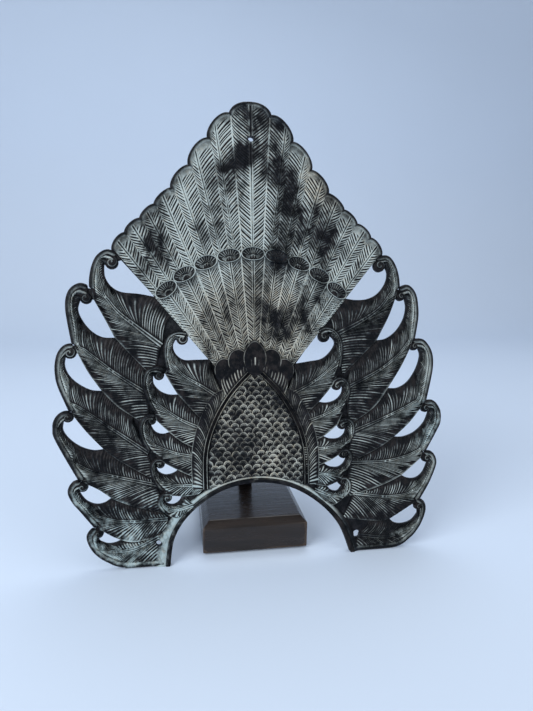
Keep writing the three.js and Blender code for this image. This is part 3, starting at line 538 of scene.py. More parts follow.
def rod(name, line, width, height, middle, inside, sides=14, rub=0.42):
    """A round bar along a line, with rounded ends. Its inside, to the left where inside is 1, is rubbed."""
    line = np.asarray(line, float)
    along = distances(line)
    ends = np.clip(np.minimum(along, along[-1] - along) / (width / 2), 0.02, 1)
    girth = np.sqrt(np.clip(1 - (1 - ends)**2, 0.03, 1))[:, None]
    turn = 2 * math.pi * np.arange(sides) / sides
    across = np.cos(turn) * girth * width / 2
    relief = middle + np.sin(turn) * girth * height / 2
    flat = line[:, None] + (normals_of(line) * inside)[:, None] * across[..., None]
    faces = [(i * sides + j, i * sides + (j + 1) % sides, (i + 1) * sides + (j + 1) % sides,
              (i + 1) * sides + j) for i in range(len(line) - 1) for j in range(sides)]
    last = (len(line) - 1) * sides
    faces += [tuple(range(sides))[::-1], tuple(range(last, last + sides))]
    mesh = bpy.data.meshes.new(name)
    mesh.from_pydata(with_relief(flat, relief).reshape(-1, 3).tolist(), [], faces)
    piece = linked(name, mesh)
    lit = 0.06 + rub * np.clip(np.cos(turn - 0.9), 0, 1)**4
    set_wear_and_light(piece, np.tile(lit, len(line)))
    return smoothed(piece, 60)


def volute(name, ball, height, way):
    """The ball that a plume's tip rolls up into, with the groove that winds into its middle."""
    x, h, radius = ball
    rho = np.linspace(0.02, 1, 16)[None, :]
    theta = np.linspace(0, 2 * math.pi, 57)[:, None]
    winding = (rho * 1.5 + way * theta / (2 * math.pi)) % 1
    groove = bump(winding, 0.5, 0.16) * smoothstep(1.0, 0.8, rho) * smoothstep(0.0, 0.25, rho)
    dome = np.sqrt(np.clip(1 - rho**2, 0, 1))
    relief = 0.45 * height + 0.55 * height * dome - 0.9 * groove
    wear_and_light = 0.08 + 0.4 * bump(winding, 0.22, 0.14) * smoothstep(1.0, 0.7, rho) - 0.4 * groove
    flat = np.stack([x + radius * rho * np.cos(theta), h + radius * rho * np.sin(theta), relief], -1)
    return welded(carved(name, flat, wear_and_light, under=0.2))


def united(name, pieces):
    """Several pieces as one object."""
    only(pieces[0])
    for piece in pieces[1:]:
        piece.select_set(True)
    bpy.ops.object.join()
    return called(pieces[0], name)


def finished(piece, finish):
    piece.data.materials.clear()
    piece.data.materials.append(finish)


def set_down(piece):
    """Leans a drawn piece of the casting back into its place, and gives it the brass's finish."""
    points = np.zeros(len(piece.data.vertices) * 3, np.float32)
    piece.data.vertices.foreach_get("co", points)
    placed = leaned(points.reshape(-1, 3))
    placed[:, 0] = np.clip(placed[:, 0], CAD_BOX[0][0], CAD_BOX[1][0])
    placed[:, 2] = np.minimum(placed[:, 2], CAD_BOX[1][2])
    piece.data.vertices.foreach_set("co", placed.astype(np.float32).ravel())
    piece.data.update()
    finished(piece, patinated_brass())
    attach(piece, "plaque")
    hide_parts("aureole_plaque")
    return piece


def hollow_line(parts):
    """Hollow side of the gap under a plume's tip."""
    return smooth([parts["side"][-1]] + parts["hollow"])


def seam_line(wing, number):
    """Upper seam of a plume, from the gap inwards, or the foot of the wing after its last plume."""
    plumes = WINGS[wing]
    starts = plumes[number]["side"] if number < len(plumes) else plumes[-1]["rim"]
    return smooth([starts[-1]] + SEAMS[wing][number])


def plume_lines(wing, number):
    """Lower edge, midrib and upper edge of a plume, each from its base to its rolled tip."""
    plumes = WINGS[wing]
    parts = plumes[number]
    hollow, rim = hollow_line(parts), smooth(parts["rim"])
    upper = chained(seam_line(wing, number)[::-1], hollow)
    lower = seam_line(wing, number + 1)[::-1]
    if number + 1 < len(plumes):
        lower = chained(lower, smooth(plumes[number + 1]["side"])[::-1])
    lower = np.vstack([lower, rim[::-1]])
    rib = smooth(parts["rib"])[::-1]
    start = rib[0] - (rib[3] - rib[0]) / np.linalg.norm(rib[3] - rib[0]) * 8
    tip = []
    for share in (0.72, 0.5, 0.28):
        bend = at_shares(rim, [share])[0]
        facing = hollow[np.argmin(np.linalg.norm(hollow - bend, axis=1))]
        tip.append((bend + facing) / 2)
    middle = smooth(np.vstack([[start], rib[::8], tip, [parts["ball"][:2]]]))
    return lower, middle, upper


def swept_shares(starts, edge, slant):
    """Where on an edge the barbs end that leave the given points: further on, the further away they start."""
    away = np.linalg.norm(starts[:, None] - edge[None], axis=2)
    nearest = away.argmin(axis=1)
    along = distances(edge)
    ends = np.maximum.accumulate(along[nearest] + slant * away.min(axis=1))
    window = np.hanning(len(ends) // 12 * 2 + 3)
    padded = np.pad(ends, len(window) // 2, mode="reflect", reflect_type="odd")
    ends = np.convolve(padded, window / window.sum(), mode="valid")
    ends = np.maximum.accumulate(np.clip(ends / along[-1], 0, 1)) + 1e-4 * np.arange(len(ends))
    return ends / ends[-1]


def barb_field(starts, ends, ways, v, bulge):
    """Points of barbs from their starts to their ends, each bowed the given way."""
    v = v[..., None]
    reach = np.linalg.norm(ends - starts, axis=1)[:, None]
    bend = (starts + ends) / 2 + ways * bulge * reach
    starts, ends, bend = starts[:, None], ends[:, None], bend[:, None]
    return starts * (1 - v)**2 + 2 * v * (1 - v) * bend + ends * v**2


def barbs_along(line, chance):
    """Rows along a line: their shares, the barbs' ridges, each barb's strength and its reach."""
    barbs = round(length_of(line) / mm(sizes().plume_barb))
    shares = np.linspace(0.012, 1, barbs * ROWS_PER_BARB + 1)
    own = np.round(shares * barbs).astype(int)
    ridge = waves(shares * barbs)[:, None]
    strength, reach = chance.uniform(0.45, 1.0, barbs + 2), chance.uniform(0.6, 1.1, barbs + 2)
    return shares, ridge, strength[own, None], reach[own, None]


def plume(wing, number, level, rim_width):
    """One plume of a wing: two fields of barbs, and a midrib of two fine lines between them."""
    lower, middle, upper = plume_lines(wing, number)
    chance = np.random.default_rng(31 * number + len(wing))
    base = PLUME_LEVEL + level
    shares, ridge, strength, reach = barbs_along(middle, chance)
    spine = at_shares(middle, shares)
    normals = normals_of(spine)
    # The upper edge lies to the left of the midrib on the right wing, and to its right on the left wing
    left = 1 if wing.endswith("right") else -1
    breadth = 1.0 if level == 0 else 0.75
    half = (np.interp(shares, [0, 0.7, 1], [1.9, 0.9, 0.5]) * breadth)[:, None]
    top_side, low_side = spine + normals * half * left, spine - normals * half * left

    s = shares[:, None]
    v = np.linspace(0, 1, 12)[None, :]
    edge = drawn_in(at_shares(upper, swept_shares(top_side, upper, slant=0.75)), spine)
    up = barb_field(top_side, edge, clockwise(normals), v, bulge=0.2)
    field = smoothstep(0.0, 0.12, v) * smoothstep(1.0, 0.86, v) * smoothstep(0.98, 0.8, s)
    up_relief = base + 1.5 - 0.8 * v**1.5 + 0.55 * np.sin(math.pi * v)
    up_relief = up_relief - mm(sizes().barb_depth) * (1 - ridge) * field
    up_worn = 0.04 + 0.74 * ridge**3 * strength * field * smoothstep(reach, reach * 0.6, v)
    up_worn = up_worn + 0.2 * smoothstep(0.8, 1, s)
    rib = np.stack([low_side + (top_side - low_side) * t for t in (-0.15, 0.15, 0.5, 0.85)], 1)
    rungs = np.clip(sum(bump(s, at, 0.006) for at in (0.3, 0.335, 0.6)), 0, 1)
    rib_relief = base + np.concatenate([0.9 + 0 * s, 2.15 + 0 * s, 1.55 + 0.6 * rungs, 2.15 + 0 * s], 1)
    line = 0.42 + 0.3 * strength
    rib_worn = np.concatenate([0 * s, line, 0.04 + 0.6 * rungs, line], 1) * smoothstep(1.0, 0.85, s)
    relief = np.concatenate([rib_relief, up_relief], 1)
    upper_blade = carved("upper_blade", with_relief(np.concatenate([rib, up], 1), relief),
                         np.concatenate([rib_worn, up_worn], 1))
    return united("plume", [upper_blade, low_blade(lower, low_side, base, rim_width, chance)])


def drawn_in(edge, middle):
    """An edge moved a little towards the middle of its plume."""
    away = middle - edge
    return edge + away * (EDGE_GAP / np.maximum(np.linalg.norm(away, axis=1), 1))[:, None]


def low_blade(lower, low_side, base, rim_width, chance):
    """Lower half of a plume, whose barbs leave its root and its midrib and lean towards its tip."""
    root = at_shares(np.stack([lower[0], low_side[0]]), np.linspace(0, 1, 20))
    path = chained(root, low_side)
    shares, ridge, strength, reach = barbs_along(path, chance)
    starts = at_shares(path, shares)
    end_shares = swept_shares(starts, lower, slant=1.25)
    ends = drawn_in(at_shares(lower, end_shares), starts)
    v = np.linspace(0, 1, 12)[None, :]
    flat = barb_field(starts, ends, clockwise(normals_of(starts)), v, bulge=0.1)
    s = shares[:, None]
    # The rim starts where the lower edge leaps over from the next plume's gap
    leaps = steps_of(lower)
    joint = (np.argmax(leaps) + 1 if leaps.max() > 1.2 else len(lower) // 2) / len(lower)
    on_rim = smoothstep(joint - 0.02, joint + 0.04, end_shares)[:, None]
    tip_fade = smoothstep(0.99, 0.85, s)
    field = smoothstep(0.0, 0.08, v) * smoothstep(1.0, 0.9, v) * tip_fade
    inside = np.linalg.norm(flat - flat[:, -1:], axis=2) - rim_width / 2
    by_rim = bump(inside, 1.8, 0.9 if base > PLUME_LEVEL + 0.5 else 1.5) * on_rim
    groove = bump(inside, 0.3, 0.7) * on_rim
    relief = base + 1.5 - 0.35 * v + 0.7 * np.sin(math.pi * v)
    relief = relief - mm(sizes().barb_depth) * (1 - ridge) * field
    relief = relief + 0.5 * smoothstep(0.75, 1.0, v) * (1 - on_rim) + 0.5 * by_rim - 0.3 * groove
    wear_and_light = 0.04 + 0.95 * ridge**3 * strength * field * smoothstep(reach * 1.15, reach * 0.8, v)
    wear_and_light = wear_and_light + 0.4 * smoothstep(0.92, 0.99, v) * (1 - on_rim) * tip_fade
    wear_and_light = (wear_and_light + 0.6 * by_rim * (0.35 + 0.65 * strength)) * (1 - groove)
    return carved("lower_blade", with_relief(flat, relief), wear_and_light)


def wing_pieces(wing):
    """All the plumes of a wing, and all their rims and rolled tips."""
    inner = wing.startswith("inner")
    way = 1 if wing.endswith("right") else -1
    width = mm(sizes().inner_rim if inner else sizes().rim_width)
    height = INNER_RIM_HEIGHT if inner else mm(sizes().rim_height)
    plumes, rims = [], []
    for number, parts in enumerate(WINGS[wing]):
        level = (INNER_RISE if inner else 0.0) - LAP_DROP * number
        plumes.append(plume(wing, number, level, width))
        rims.append(rod("rim", smooth(parts["rim"]), width, height, height / 2, inside=-way))
        rims.append(volute("ball", parts["ball"], INNER_BALL_HEIGHT if inner else OUTER_BALL_HEIGHT, way))
    if not inner:
        for hole in HOLES[1:]:
            if hole[0] * way > 0:
                plumes[-1] = bored(plumes[-1], hole)
    return united(f"{wing}_plumes", plumes), united(f"{wing}_rims", rims)


def fan_point(degrees, radius):
    turn = math.radians(degrees)
    return np.array([FAN_CENTRE[0] + math.sin(turn) * radius, FAN_CENTRE[1] + math.cos(turn) * radius])


def scallop(start, end, bulge):
    """Middle line of the bar along one scallop of the fan."""
    a, b = np.array(start, float), np.array(end, float)
    out = np.array([-(b - a)[1], (b - a)[0]]) * bulge
    t = np.linspace(0, 1, 33)[:, None]
    line = (1 - t)**3 * a + 3 * t * (1 - t)**2 * (a + out) + 3 * t**2 * (1 - t) * (b + out) + t**3 * b
    inwards = np.array(FAN_CENTRE) - line
    line = line + inwards / np.linalg.norm(inwards, axis=1)[:, None] * mm(sizes().rim_width) / 2
    return at_shares(line, t[:, 0])


def scallops():
    """Bars of all the scallops from the left end of the fan to the right end."""
    right = [scallop(NOTCHES[i], NOTCHES[i + 1], BULGES[i]) for i in range(len(BULGES))]
    left = [(line * [-1, 1])[::-1] for line in right[::-1]]
    top = NOTCHES[0]
    return left + [scallop((-top[0], top[1]), top, TOP_BULGE)] + right


def feather(name, foot_left, foot_right, top, level, quill, seed, ground=0.8, finer=1.0):
    """A straight feather from its foot up to its top edge: cut barbs that rise away from a double quill."""
    tall = float(np.linalg.norm(at_shares(top, [0.5])[0] - (foot_left + foot_right) / 2))
    barbs = round(tall / (mm(sizes().fan_barb) * finer))
    chance = np.random.default_rng(seed)
    g = np.linspace(0, 1, barbs * ROWS_PER_BARB + 1)
    phase = (g * barbs)[:, None]
    uneven = chance.uniform(-0.35, 0.35, barbs)
    uneven[[0, -1]] = 0
    g = (g + np.interp(g, np.linspace(0, 1, barbs), uneven) / barbs)[:, None]
    width_foot = np.linalg.norm(foot_right - foot_left)
    width_top = np.linalg.norm(top[-1] - top[0])
    # Columns across: edge line, field of barbs, quill line, quill groove, and the same again
    line = 0.055 * min(1, 18 / width_top)
    across = [0, 0.012, 0.03, 0.05] + list(np.linspace(0.1, 0.41, 6))
    across += [0.5 - 1.4 * line, 0.5 - line, 0.5 - 0.6 * line, 0.5]
    across = np.array(across + [1 - t for t in across[:-1][::-1]])
    middle = np.abs(across - 0.5)[None, :]
    by_edge = np.minimum(across, 1 - across)[None, :]
    top_line = at_shares(top, across)
    foot_line = foot_left * (1 - across)[:, None] + foot_right * across[:, None]
    wide = width_foot + (width_top - width_foot) * g
    reach = np.linalg.norm(top_line - foot_line, axis=1)[None, :]
    level_share = (g * tall + middle * wide * 1.1) / reach
    level_share = level_share + (g - level_share) * smoothstep(0.1, 0.0, g)
    share = np.minimum(level_share, 0.985 + 0.015 * g)
    from_top = (1 - share) * reach
    flat = foot_line[None] + (top_line - foot_line)[None] * share[..., None]
    in_field = smoothstep(0.025, 0.055, by_edge) * smoothstep(1.3 * line, 1.6 * line, middle)
    in_field = in_field * smoothstep(0.0, 0.02, g)
    in_field = in_field * smoothstep(0, 3, from_top - chance.uniform(2, 6))
    jitter = chance.uniform(0.75, 1.0, barbs + 2)[np.round(phase).astype(int)]
    cut = smoothstep(0.2, 0.8, waves(phase)) * in_field * jitter
    on_quill = bump(middle / line, 1, 0.2) * quill
    in_quill = smoothstep(0.8, 0.0, middle / line) * quill
    on_edge = smoothstep(0.032, 0.01, by_edge) * 0.8
    crown = 0.7 * (1 - (2 * middle)**2)
    relief = level + crown + 0.45 * on_quill - 0.35 * in_quill + 0.1 * on_edge - 0.45 * cut
    # Painted shade of the rim: the barbs darken over the last 10 mm below it
    wear_and_light = ground * chance.uniform(0.88, 1.06) * (1 - 0.55 * smoothstep(10, 2, from_top)) - 0.9 * cut
    for place, brightness in ((on_quill, 0.9), (on_edge, 0.85), (in_quill, 0.05)):
        wear_and_light = wear_and_light * (1 - place) + brightness * place
    return carved(name, with_relief(flat, relief), wear_and_light)


def long_feathers():
    """The fifteen feathers of the fan, each up to its own scallop."""
    pieces = []
    bounds = [(-x, h) for x, h in NOTCHES[::-1]] + NOTCHES
    lines = scallops()
    for i, line in enumerate(lines):
        outermost = i in (0, 1, len(lines) - 2, len(lines) - 1)
        feet = []
        for x, h in bounds[i:i + 2]:
            degrees = math.degrees(math.atan2(x - FAN_CENTRE[0], h - FAN_CENTRE[1]))
            feet.append(fan_point(degrees, 60 if outermost else 100))
        pieces.append(feather("long_feather", *feet, line, FAN_LEVEL, quill=0.9, seed=7 * i + 3))
    return pieces


def eye_radius(step):
    return EYE_RADIUS - EYE_DROP * step * step


def short_feathers():
    """The nine short feathers that each carry an oval eye."""
    pieces = []
    for step in EYE_STEPS:
        sides = [(step + half) * EYE_STEP for half in (-0.5, 0.5)]
        feet = [fan_point(degrees, SHORT_FOOT_RADIUS) for degrees in sides]
        top = np.array([fan_point(degrees, eye_radius(step) - 1) for degrees in np.linspace(*sides, 12)])
        pieces.append(feather("short_feather", *feet, top, SHORT_LEVEL - 0.04 * abs(step), quill=1.0,
                              seed=90 + step, ground=0.62, finer=0.8))
    return pieces


def eye(step):
    """An oval eye: a raised ring, a hollow with ticks round its upper half, and a half-round boss below."""
    theta = np.linspace(0, 2 * math.pi, 145)[:, None]
    rho = [0.02, 0.12, 0.2, 0.28, 0.34, 0.4, 0.48, 0.58, 0.68, 0.76, 0.83, 0.87, 0.9, 0.93, 0.96, 1.0]
    rho = np.array(rho)[None, :]
    half_long, half_short = mm(sizes().eye_long) / 2, mm(sizes().eye_short) / 2
    x, h = rho * np.cos(theta) * half_long, rho * np.sin(theta) * half_short
    boss = np.hypot(x / 3.6, (h + half_short * 0.72) / 3.4)
    on_ring = bump(rho, 0.93, 0.05)
    bearing = np.arctan2(x, h + half_short * 0.6)
    ticks = (0.5 + 0.5 * np.cos(bearing * 24))**4 * smoothstep(1.15, 1.5, boss)
    ticks = ticks * smoothstep(0.86, 0.78, rho) * smoothstep(-2.5, 0, h)
    on_boss = smoothstep(1.0, 0.8, boss)
    boss_line = bump(boss, 0.92, 0.12) * smoothstep(0.88, 0.8, rho) * smoothstep(-4.6, -3.4, h)
    relief = EYE_LEVEL - 0.5 * smoothstep(0.9, 0.5, rho) + on_ring + 0.45 * ticks + 0.8 * on_boss
    wear_and_light = 0.05 + 0.85 * on_ring + 0.5 * ticks + 0.45 * boss_line
    lean = -math.radians(step * EYE_STEP) * 1.05
    place = fan_point(step * EYE_STEP, eye_radius(step))
    flat = np.stack([place[0] + x * math.cos(lean) - h * math.sin(lean),
                     place[1] + x * math.sin(lean) + h * math.cos(lean), relief], -1)
    return welded(carved("eye", flat, wear_and_light, under=2.5))


def arch_line():
    return smooth(ARCH, 0.9)


def breast_side(offset=0.0):
    """Right side of the breast, from its point down, moved outwards by the given distance."""
    line = smooth(BREAST_SIDE, 0.9)
    return line + normals_of(line) * offset


def breast():
    """The breast: a crowned field of scales whose round edges point up, each row over the one above."""
    side, arch = breast_side(), arch_line()
    u = np.linspace(-1.09, 1.09, 190)[None, :]
    v = np.linspace(0, 1, 210)[:, None]
    foot = np.interp(u * BREAST_SIDE[-1][0], arch[:, 0], arch[:, 1]) + 5.2
    h = foot + (BREAST_SIDE[0][1] - 0.4 - foot) * v
    x = u * np.interp(-h, -side[:, 1], side[:, 0])
    width, row = mm(sizes().scale_width), mm(sizes().scale_row)
    radius = width / 2 * 1.04
    chance = np.random.default_rng(5)
    rows, cells = 30, 40
    shift = chance.uniform(-0.8, 0.8, (rows, cells))
    rise = chance.uniform(-0.7, 0.7, (rows, cells))
    bright = chance.uniform(0.45, 1.0, (rows, cells))
    taken = np.zeros(h.shape, bool)
    # Of the scale that a point lies on: depth below its edge, distance to its arc, place across, brightness
    drop, ring, tick, light = (np.full(h.shape, 4.0) for _ in range(4))
    for j in range(rows):
        start = 49 + row * j
        offset = 0.5 * (j % 2)
        cell = np.round(x / width + offset).astype(int)
        own = cell + cells // 2
        away = x - (cell - offset) * width - shift[j, own]
        crown = start + rise[j, own] + np.sqrt(np.clip(radius**2 - away**2, 0, None))
        here = ~taken & (h < crown)
        drop[here] = (crown - h)[here]
        ring[here] = (radius - np.hypot(away, np.maximum(h - start, 0)))[here]
        tick[here] = away[here]
        light[here] = bright[j, own][here]
        taken |= here
    inside = smoothstep(1.0, 0.965, np.abs(u)) * smoothstep(0, 0.012, v) * smoothstep(1, 0.985, v)
    crescent = bump(ring, 0.35, 0.36) * smoothstep(3.4, 1.9, drop)
    mark = bump(tick, 0, 0.4) * smoothstep(2.0, 2.5, drop) * smoothstep(4.0, 3.2, drop)
    arc = bump(ring, 1.45, 0.32) * smoothstep(3.6, 2.2, drop)
    scale = smoothstep(4.2, 0.3, drop) + 0.2 * mark + 0.15 * arc - 0.2
    relief = BREAST_LEVEL + 1.3 * (1 - u**2) + inside * scale
    wear_and_light = 0.1 + inside * (0.86 * crescent + 0.3 * mark + 0.55 * arc) * light
    return carved("breast_scales", np.stack([x, h, relief], -1), wear_and_light)


def breast_borders():
    """Two fine bars on each side of the breast, with a groove between them."""
    pieces = []
    arch = arch_line()
    for side in (-1, 1):
        for offset in (0.3, 3.2):
            line = breast_side(offset)
            line = line[line[:, 0] > 0.2] * [side, 1]
            line = line[line[:, 1] > np.interp(line[:, 0], arch[:, 0], arch[:, 1]) + 3]
            pieces.append(rod("border", line, 0.9, 2.4, 5.6, inside=side, sides=10, rub=0.6))
        between = breast_side(2.0)
        between = between[between[:, 1] > BREAST_FOOT]
        across = np.array([-2.6, -1.2, 0, 1.2, 2.4])[None, :, None]
        flat = (between[:, None] + normals_of(between)[:, None] * across) * [side, 1]
        level = np.tile([4.2, 5.0, 4.9, 5.0, 5.0], (len(between), 1))
        pieces.append(carved("groove", with_relief(flat, level), np.full(level.shape, 0.05)))
    return united("breast_borders", pieces)


def side_band(side):
    """Feathered band that hangs from the crest down one side of the breast."""
    inner = breast_side(BORDER_OFFSET)
    inner = inner[(inner[:, 1] > BREAST_FOOT - 1) & (inner[:, 1] < 133)]
    down = np.linspace(0, 1, len(inner))
    reach = np.interp(down, [0, 0.12, 0.3, 0.75, 1], [2.5, 9.5, 9.5, 8.5, 8])[:, None]
    outer = inner + normals_of(inner) * reach
    barbs = round(length_of(inner) / mm(sizes().plume_barb))
    rows = np.linspace(0, 1, barbs * ROWS_PER_BARB + 1)[:, None]
    v = np.linspace(0, 1, 13)[None, :]
    # Each barb leaves the outer edge level and curves down to the breast
    drop = 0.085 * (1 - (1 - v)**2) * np.minimum(1, np.minimum(rows, 1 - rows) / 0.15)
    share = np.clip(rows - drop, 0, 1)
    near, far = (at_shares(line, share.ravel()).reshape(*share.shape, 2) for line in (inner, outer))
    flat = (near + (far - near) * v[..., None]) * [side, 1]
    crest = waves(rows * barbs)
    own = np.round(rows * barbs).astype(int)
    # Every ninth barb is a lappet, which stands higher and is rubbed over its whole length
    lappet = (own % 9 == 4) * 1.0
    field = smoothstep(0.0, 0.12, v) * smoothstep(1, 0.86, v)
    jitter = np.random.default_rng(77).uniform(0.3, 0.8, barbs + 2)[own]
    jitter = np.where(lappet > 0, 0.95, jitter * smoothstep(1.0, 0.5, v))
    relief = BAND_LEVEL - 0.1 * v + 0.5 * np.sin(math.pi * v) - 0.45 * (1 - crest) * field
    relief = relief + 0.3 * lappet * crest
    wear_and_light = 0.06 + 0.8 * crest**2 * field * jitter + 0.4 * smoothstep(0.9, 0.99, v)
    return carved("side_band", with_relief(flat, relief), wear_and_light)


def crest_lobe(lobe):
    """One rounded lobe of the crest: a dome with a fine line round it."""
    (x0, h0), (wide, tall) = lobe["at"], lobe["half"]
    theta = np.linspace(0, 2 * math.pi, 97)[:, None]
    rho = np.concatenate([np.linspace(0.02, 0.8, 16), [0.84, 0.88, 0.91, 0.94, 0.97, 1.0]])[None, :]
    narrow = 1 - lobe.get("point", 0) * np.clip(rho * np.sin(theta), 0, 1)**2
    x, h = rho * np.cos(theta) * wide * narrow, rho * np.sin(theta) * tall
    line = bump(rho, 0.92, 0.05) * smoothstep(-0.75, -0.2, np.sin(theta))
    dome = np.sqrt(np.clip(1 - (rho * 0.96)**2, 0, 1))
    relief = LOBE_LEVEL + lobe["lift"] + 1.5 * dome + 0.45 * line
    flat = np.stack([x0 + x, h0 + h, relief], -1)
    return welded(carved("crest_lobe", flat, 0.04 + 0.42 * line, under=2.5))


def crest_folds():
    """Folds that spread from the point of the breast up into the lobes of the crest."""
    folds = 24
    even = np.linspace(-1, 1, folds * ROWS_PER_BARB + 1)
    u = np.sign(even) * np.abs(even)**1.15
    v = np.linspace(0, 1, 14)[None, :]
    border = breast_side(BORDER_OFFSET)
    border = np.vstack([[(0, 150.6)], border[border[:, 0] > 0.3]])
    foot = at_shares(border, np.abs(u) * 0.3) * np.stack([np.sign(u), np.ones(len(u))], 1)
    top = at_shares(smooth(CREST_LINE), 0.5 + u / 2)
    bow = np.stack([np.sign(u) * 0.25 * np.abs(u)**0.5, 0.25 * np.abs(u)], 1)
    flat = barb_field(foot, top, bow, v, bulge=1)
    chance = np.random.default_rng(12)
    own = np.round((u + 1) / 2 * folds).astype(int)
    reach = chance.uniform(0.5, 0.95, folds + 1)
    reach[folds // 2 - 1:folds // 2 + 2] = 0.7, 0.95, 0.75
    reach = reach[own][:, None]
    ridge = waves((u + 1) / 2 * folds)[:, None]
    field = smoothstep(0.03, 0.1, v) * smoothstep(reach, reach * 0.6, v)
    strength = chance.uniform(0.3, 0.85, folds + 1)[own][:, None]
    middle = bump(u, 0, 0.16)[:, None]
    relief = FOLD_LEVEL + 1.2 * middle * (1 - v**2) - 0.6 * v**3 + 0.4 * np.sin(math.pi * v)
    relief = relief - 0.5 * (1 - ridge) * field
    wear_and_light = 0.04 + 0.9 * ridge**4 * field * strength + 0.35 * smoothstep(0.97, 0.99, np.abs(u))[:, None]
    return carved("crest_folds", with_relief(flat, relief), wear_and_light, under=2.5)


def along_arch(name, offsets, reliefs, wear_and_light, reach=None):
    """A strip along the arch, from its edge outwards, of the given section. It is duller to the right."""
    share = np.linspace(0, 1, 260)
    line = at_shares(arch_line(), share)
    offsets = np.tile(np.array(offsets, float), (len(line), 1))
    if reach is not None:
        offsets[:, -3:] += reach(share)[:, None] * np.array([0.5, 0.8, 1.0])
    flat = line[:, None] + normals_of(line)[:, None] * offsets[..., None]
    relief = np.tile(np.array(reliefs, float), (len(line), 1))
    return carved(name, with_relief(flat, relief), wear_and_light * (1 - 0.7 * smoothstep(0.74, 0.88, share))[:, None])


def band_reach(share):
    """How much further the pale band, of rubbed wax and painted highlight, reaches towards the feet of the
    arch.
    """
    return 0.4 + 5 * smoothstep(0.28, 0.06, share) + 1.2 * smoothstep(0.72, 0.95, share)


def arch_pieces():
    """The square bar along the arch, and the smooth band above it, pale with rubbed wax and a painted
    highlight of the light.
    """
    width = mm(sizes().arch_rim)
    bar = along_arch("arch_bar", [0.1, 0.5, width * 0.5, width - 0.4, width], [4.9, 5.3, 5.35, 5.3, 4.9],
                     np.array([0.05, 0.12, 0.06, 0.2, 0.1]))
    # The band's pale is rubbed wax and a painted highlight, widest towards the left foot
    band = along_arch("arch_band", [width - 0.2, width + 0.6, width + 1.6, width + 2.3, width + 2.9],
                      [4.0, 4.9, 5.0, 4.6, 3.9], np.array([0.1, 0.85, 0.6, 0.35, 0.12]), reach=band_reach)
    for hole in HOLES[1:]:
        band = bored(band, hole)
    return [bar, band]


def plate_outline():
    """Outer edge of the plate, along the middle of its rims."""
    up = np.vstack([smooth(plume["rim"])[::-1] for plume in OUTER_LEFT[::-1]])
    down = np.vstack([smooth(plume["rim"]) for plume in OUTER_RIGHT])
    up = up[np.argmax(up[:, 0] < FOOT_OUTSIDE[0]):]
    down = down[:len(down) - np.argmax(down[::-1, 0] > FOOT_OUTSIDE[1])]
    arch = arch_line()
    heels = [[(x, ARCH[0][1])] for x in FOOT_OUTSIDE]
    return np.vstack([arch[:1], heels[0], up, np.vstack(scallops()), down, heels[1], arch[::-1][:-1]])


def casting_plate():
    """The pierced plate behind all the carving: a filled outline with its gaps and bores, given thickness."""
    curve = bpy.data.curves.new("casting_plate", "CURVE")
    curve.dimensions, curve.fill_mode = "2D", "BOTH"
    thick = mm(sizes().plate)
    soft = 0.35
    curve.extrude = thick / 2 - soft
    curve.bevel_depth, curve.bevel_resolution, curve.offset = soft, 2, -soft
    loops = [plate_outline()]
    for plumes in WINGS.values():
        loops += [chained(smooth(parts["side"]), hollow_line(parts))[:-1] for parts in plumes]
    turn = np.linspace(0, 2 * math.pi, 32, endpoint=False)
    loops += [np.stack([x + r * np.cos(turn), h + r * np.sin(turn)], -1) for x, h, r in HOLES]
    for loop in loops:
        apart = loop[np.linalg.norm(loop - np.roll(loop, 1, axis=0), axis=1) > 0.25]
        spline = curve.splines.new("POLY")
        spline.points.add(len(apart) - 1)
        for point, (x, h) in zip(spline.points, apart):
            point.co = (x, h, 0, 1)
        spline.use_cyclic_u = True
    only(linked("casting_plate", curve))
    bpy.ops.object.convert(target="MESH")
    piece = welded(bpy.context.object, 0.005)
    for vertex in piece.data.vertices:
        vertex.co.z += thick / 2
    set_wear_and_light(piece, np.full(len(piece.data.vertices), 0.12))
    return smoothed(piece, 50)


def bored(piece, hole):
    """Drills one of the casting's holes through a carved piece."""
    x, h, radius = hole
    deselect()
    bpy.ops.mesh.primitive_cylinder_add(vertices=32, radius=radius, depth=30, location=(x, h, 0))
    drill = bpy.context.object
    only(piece)
    cut = piece.modifiers.new("bore", "BOOLEAN")
    cut.operation, cut.solver, cut.object = "DIFFERENCE", "EXACT", drill
    bpy.ops.object.modifier_apply(modifier=cut.name)
    bpy.data.objects.remove(drill)
    return piece


def cut_at_floor(piece):
    """Cuts a piece of the casting flat where it stands on the floor."""
    with editing(piece):
        bpy.ops.mesh.bisect(plane_co=(0, 0, 0), plane_no=(0, 0, 1), use_fill=True, clear_inner=True,
                            threshold=1e-7)


class Wire:
    """A value, colour or vector inside a finish. Sums on values add the nodes that work them out."""

    def __init__(self, recipe, socket):
        self.recipe = recipe
        self.socket = socket

    def math(self, operation, *values):
        return self.recipe.node("ShaderNodeMath", {"operation": operation}, dict(enumerate(values)))

    def __add__(self, other):
        return self.math("ADD", self, other)

    def __sub__(self, other):
        return self.math("SUBTRACT", self, other)

    def __rsub__(self, other):
        return self.math("SUBTRACT", other, self)

    def __mul__(self, other):
        return self.math("MULTIPLY", self, other)

    __radd__ = __add__
    __rmul__ = __mul__

    def step(self, low, high, end=1.0):
        """Rises smoothly from 0 to the end as this value goes from low to high."""
        return self.recipe.node("ShaderNodeMapRange", {"interpolation_type": "SMOOTHSTEP"},
                                {"Value": self, "From Min": low, "From Max": high, "To Max": end})


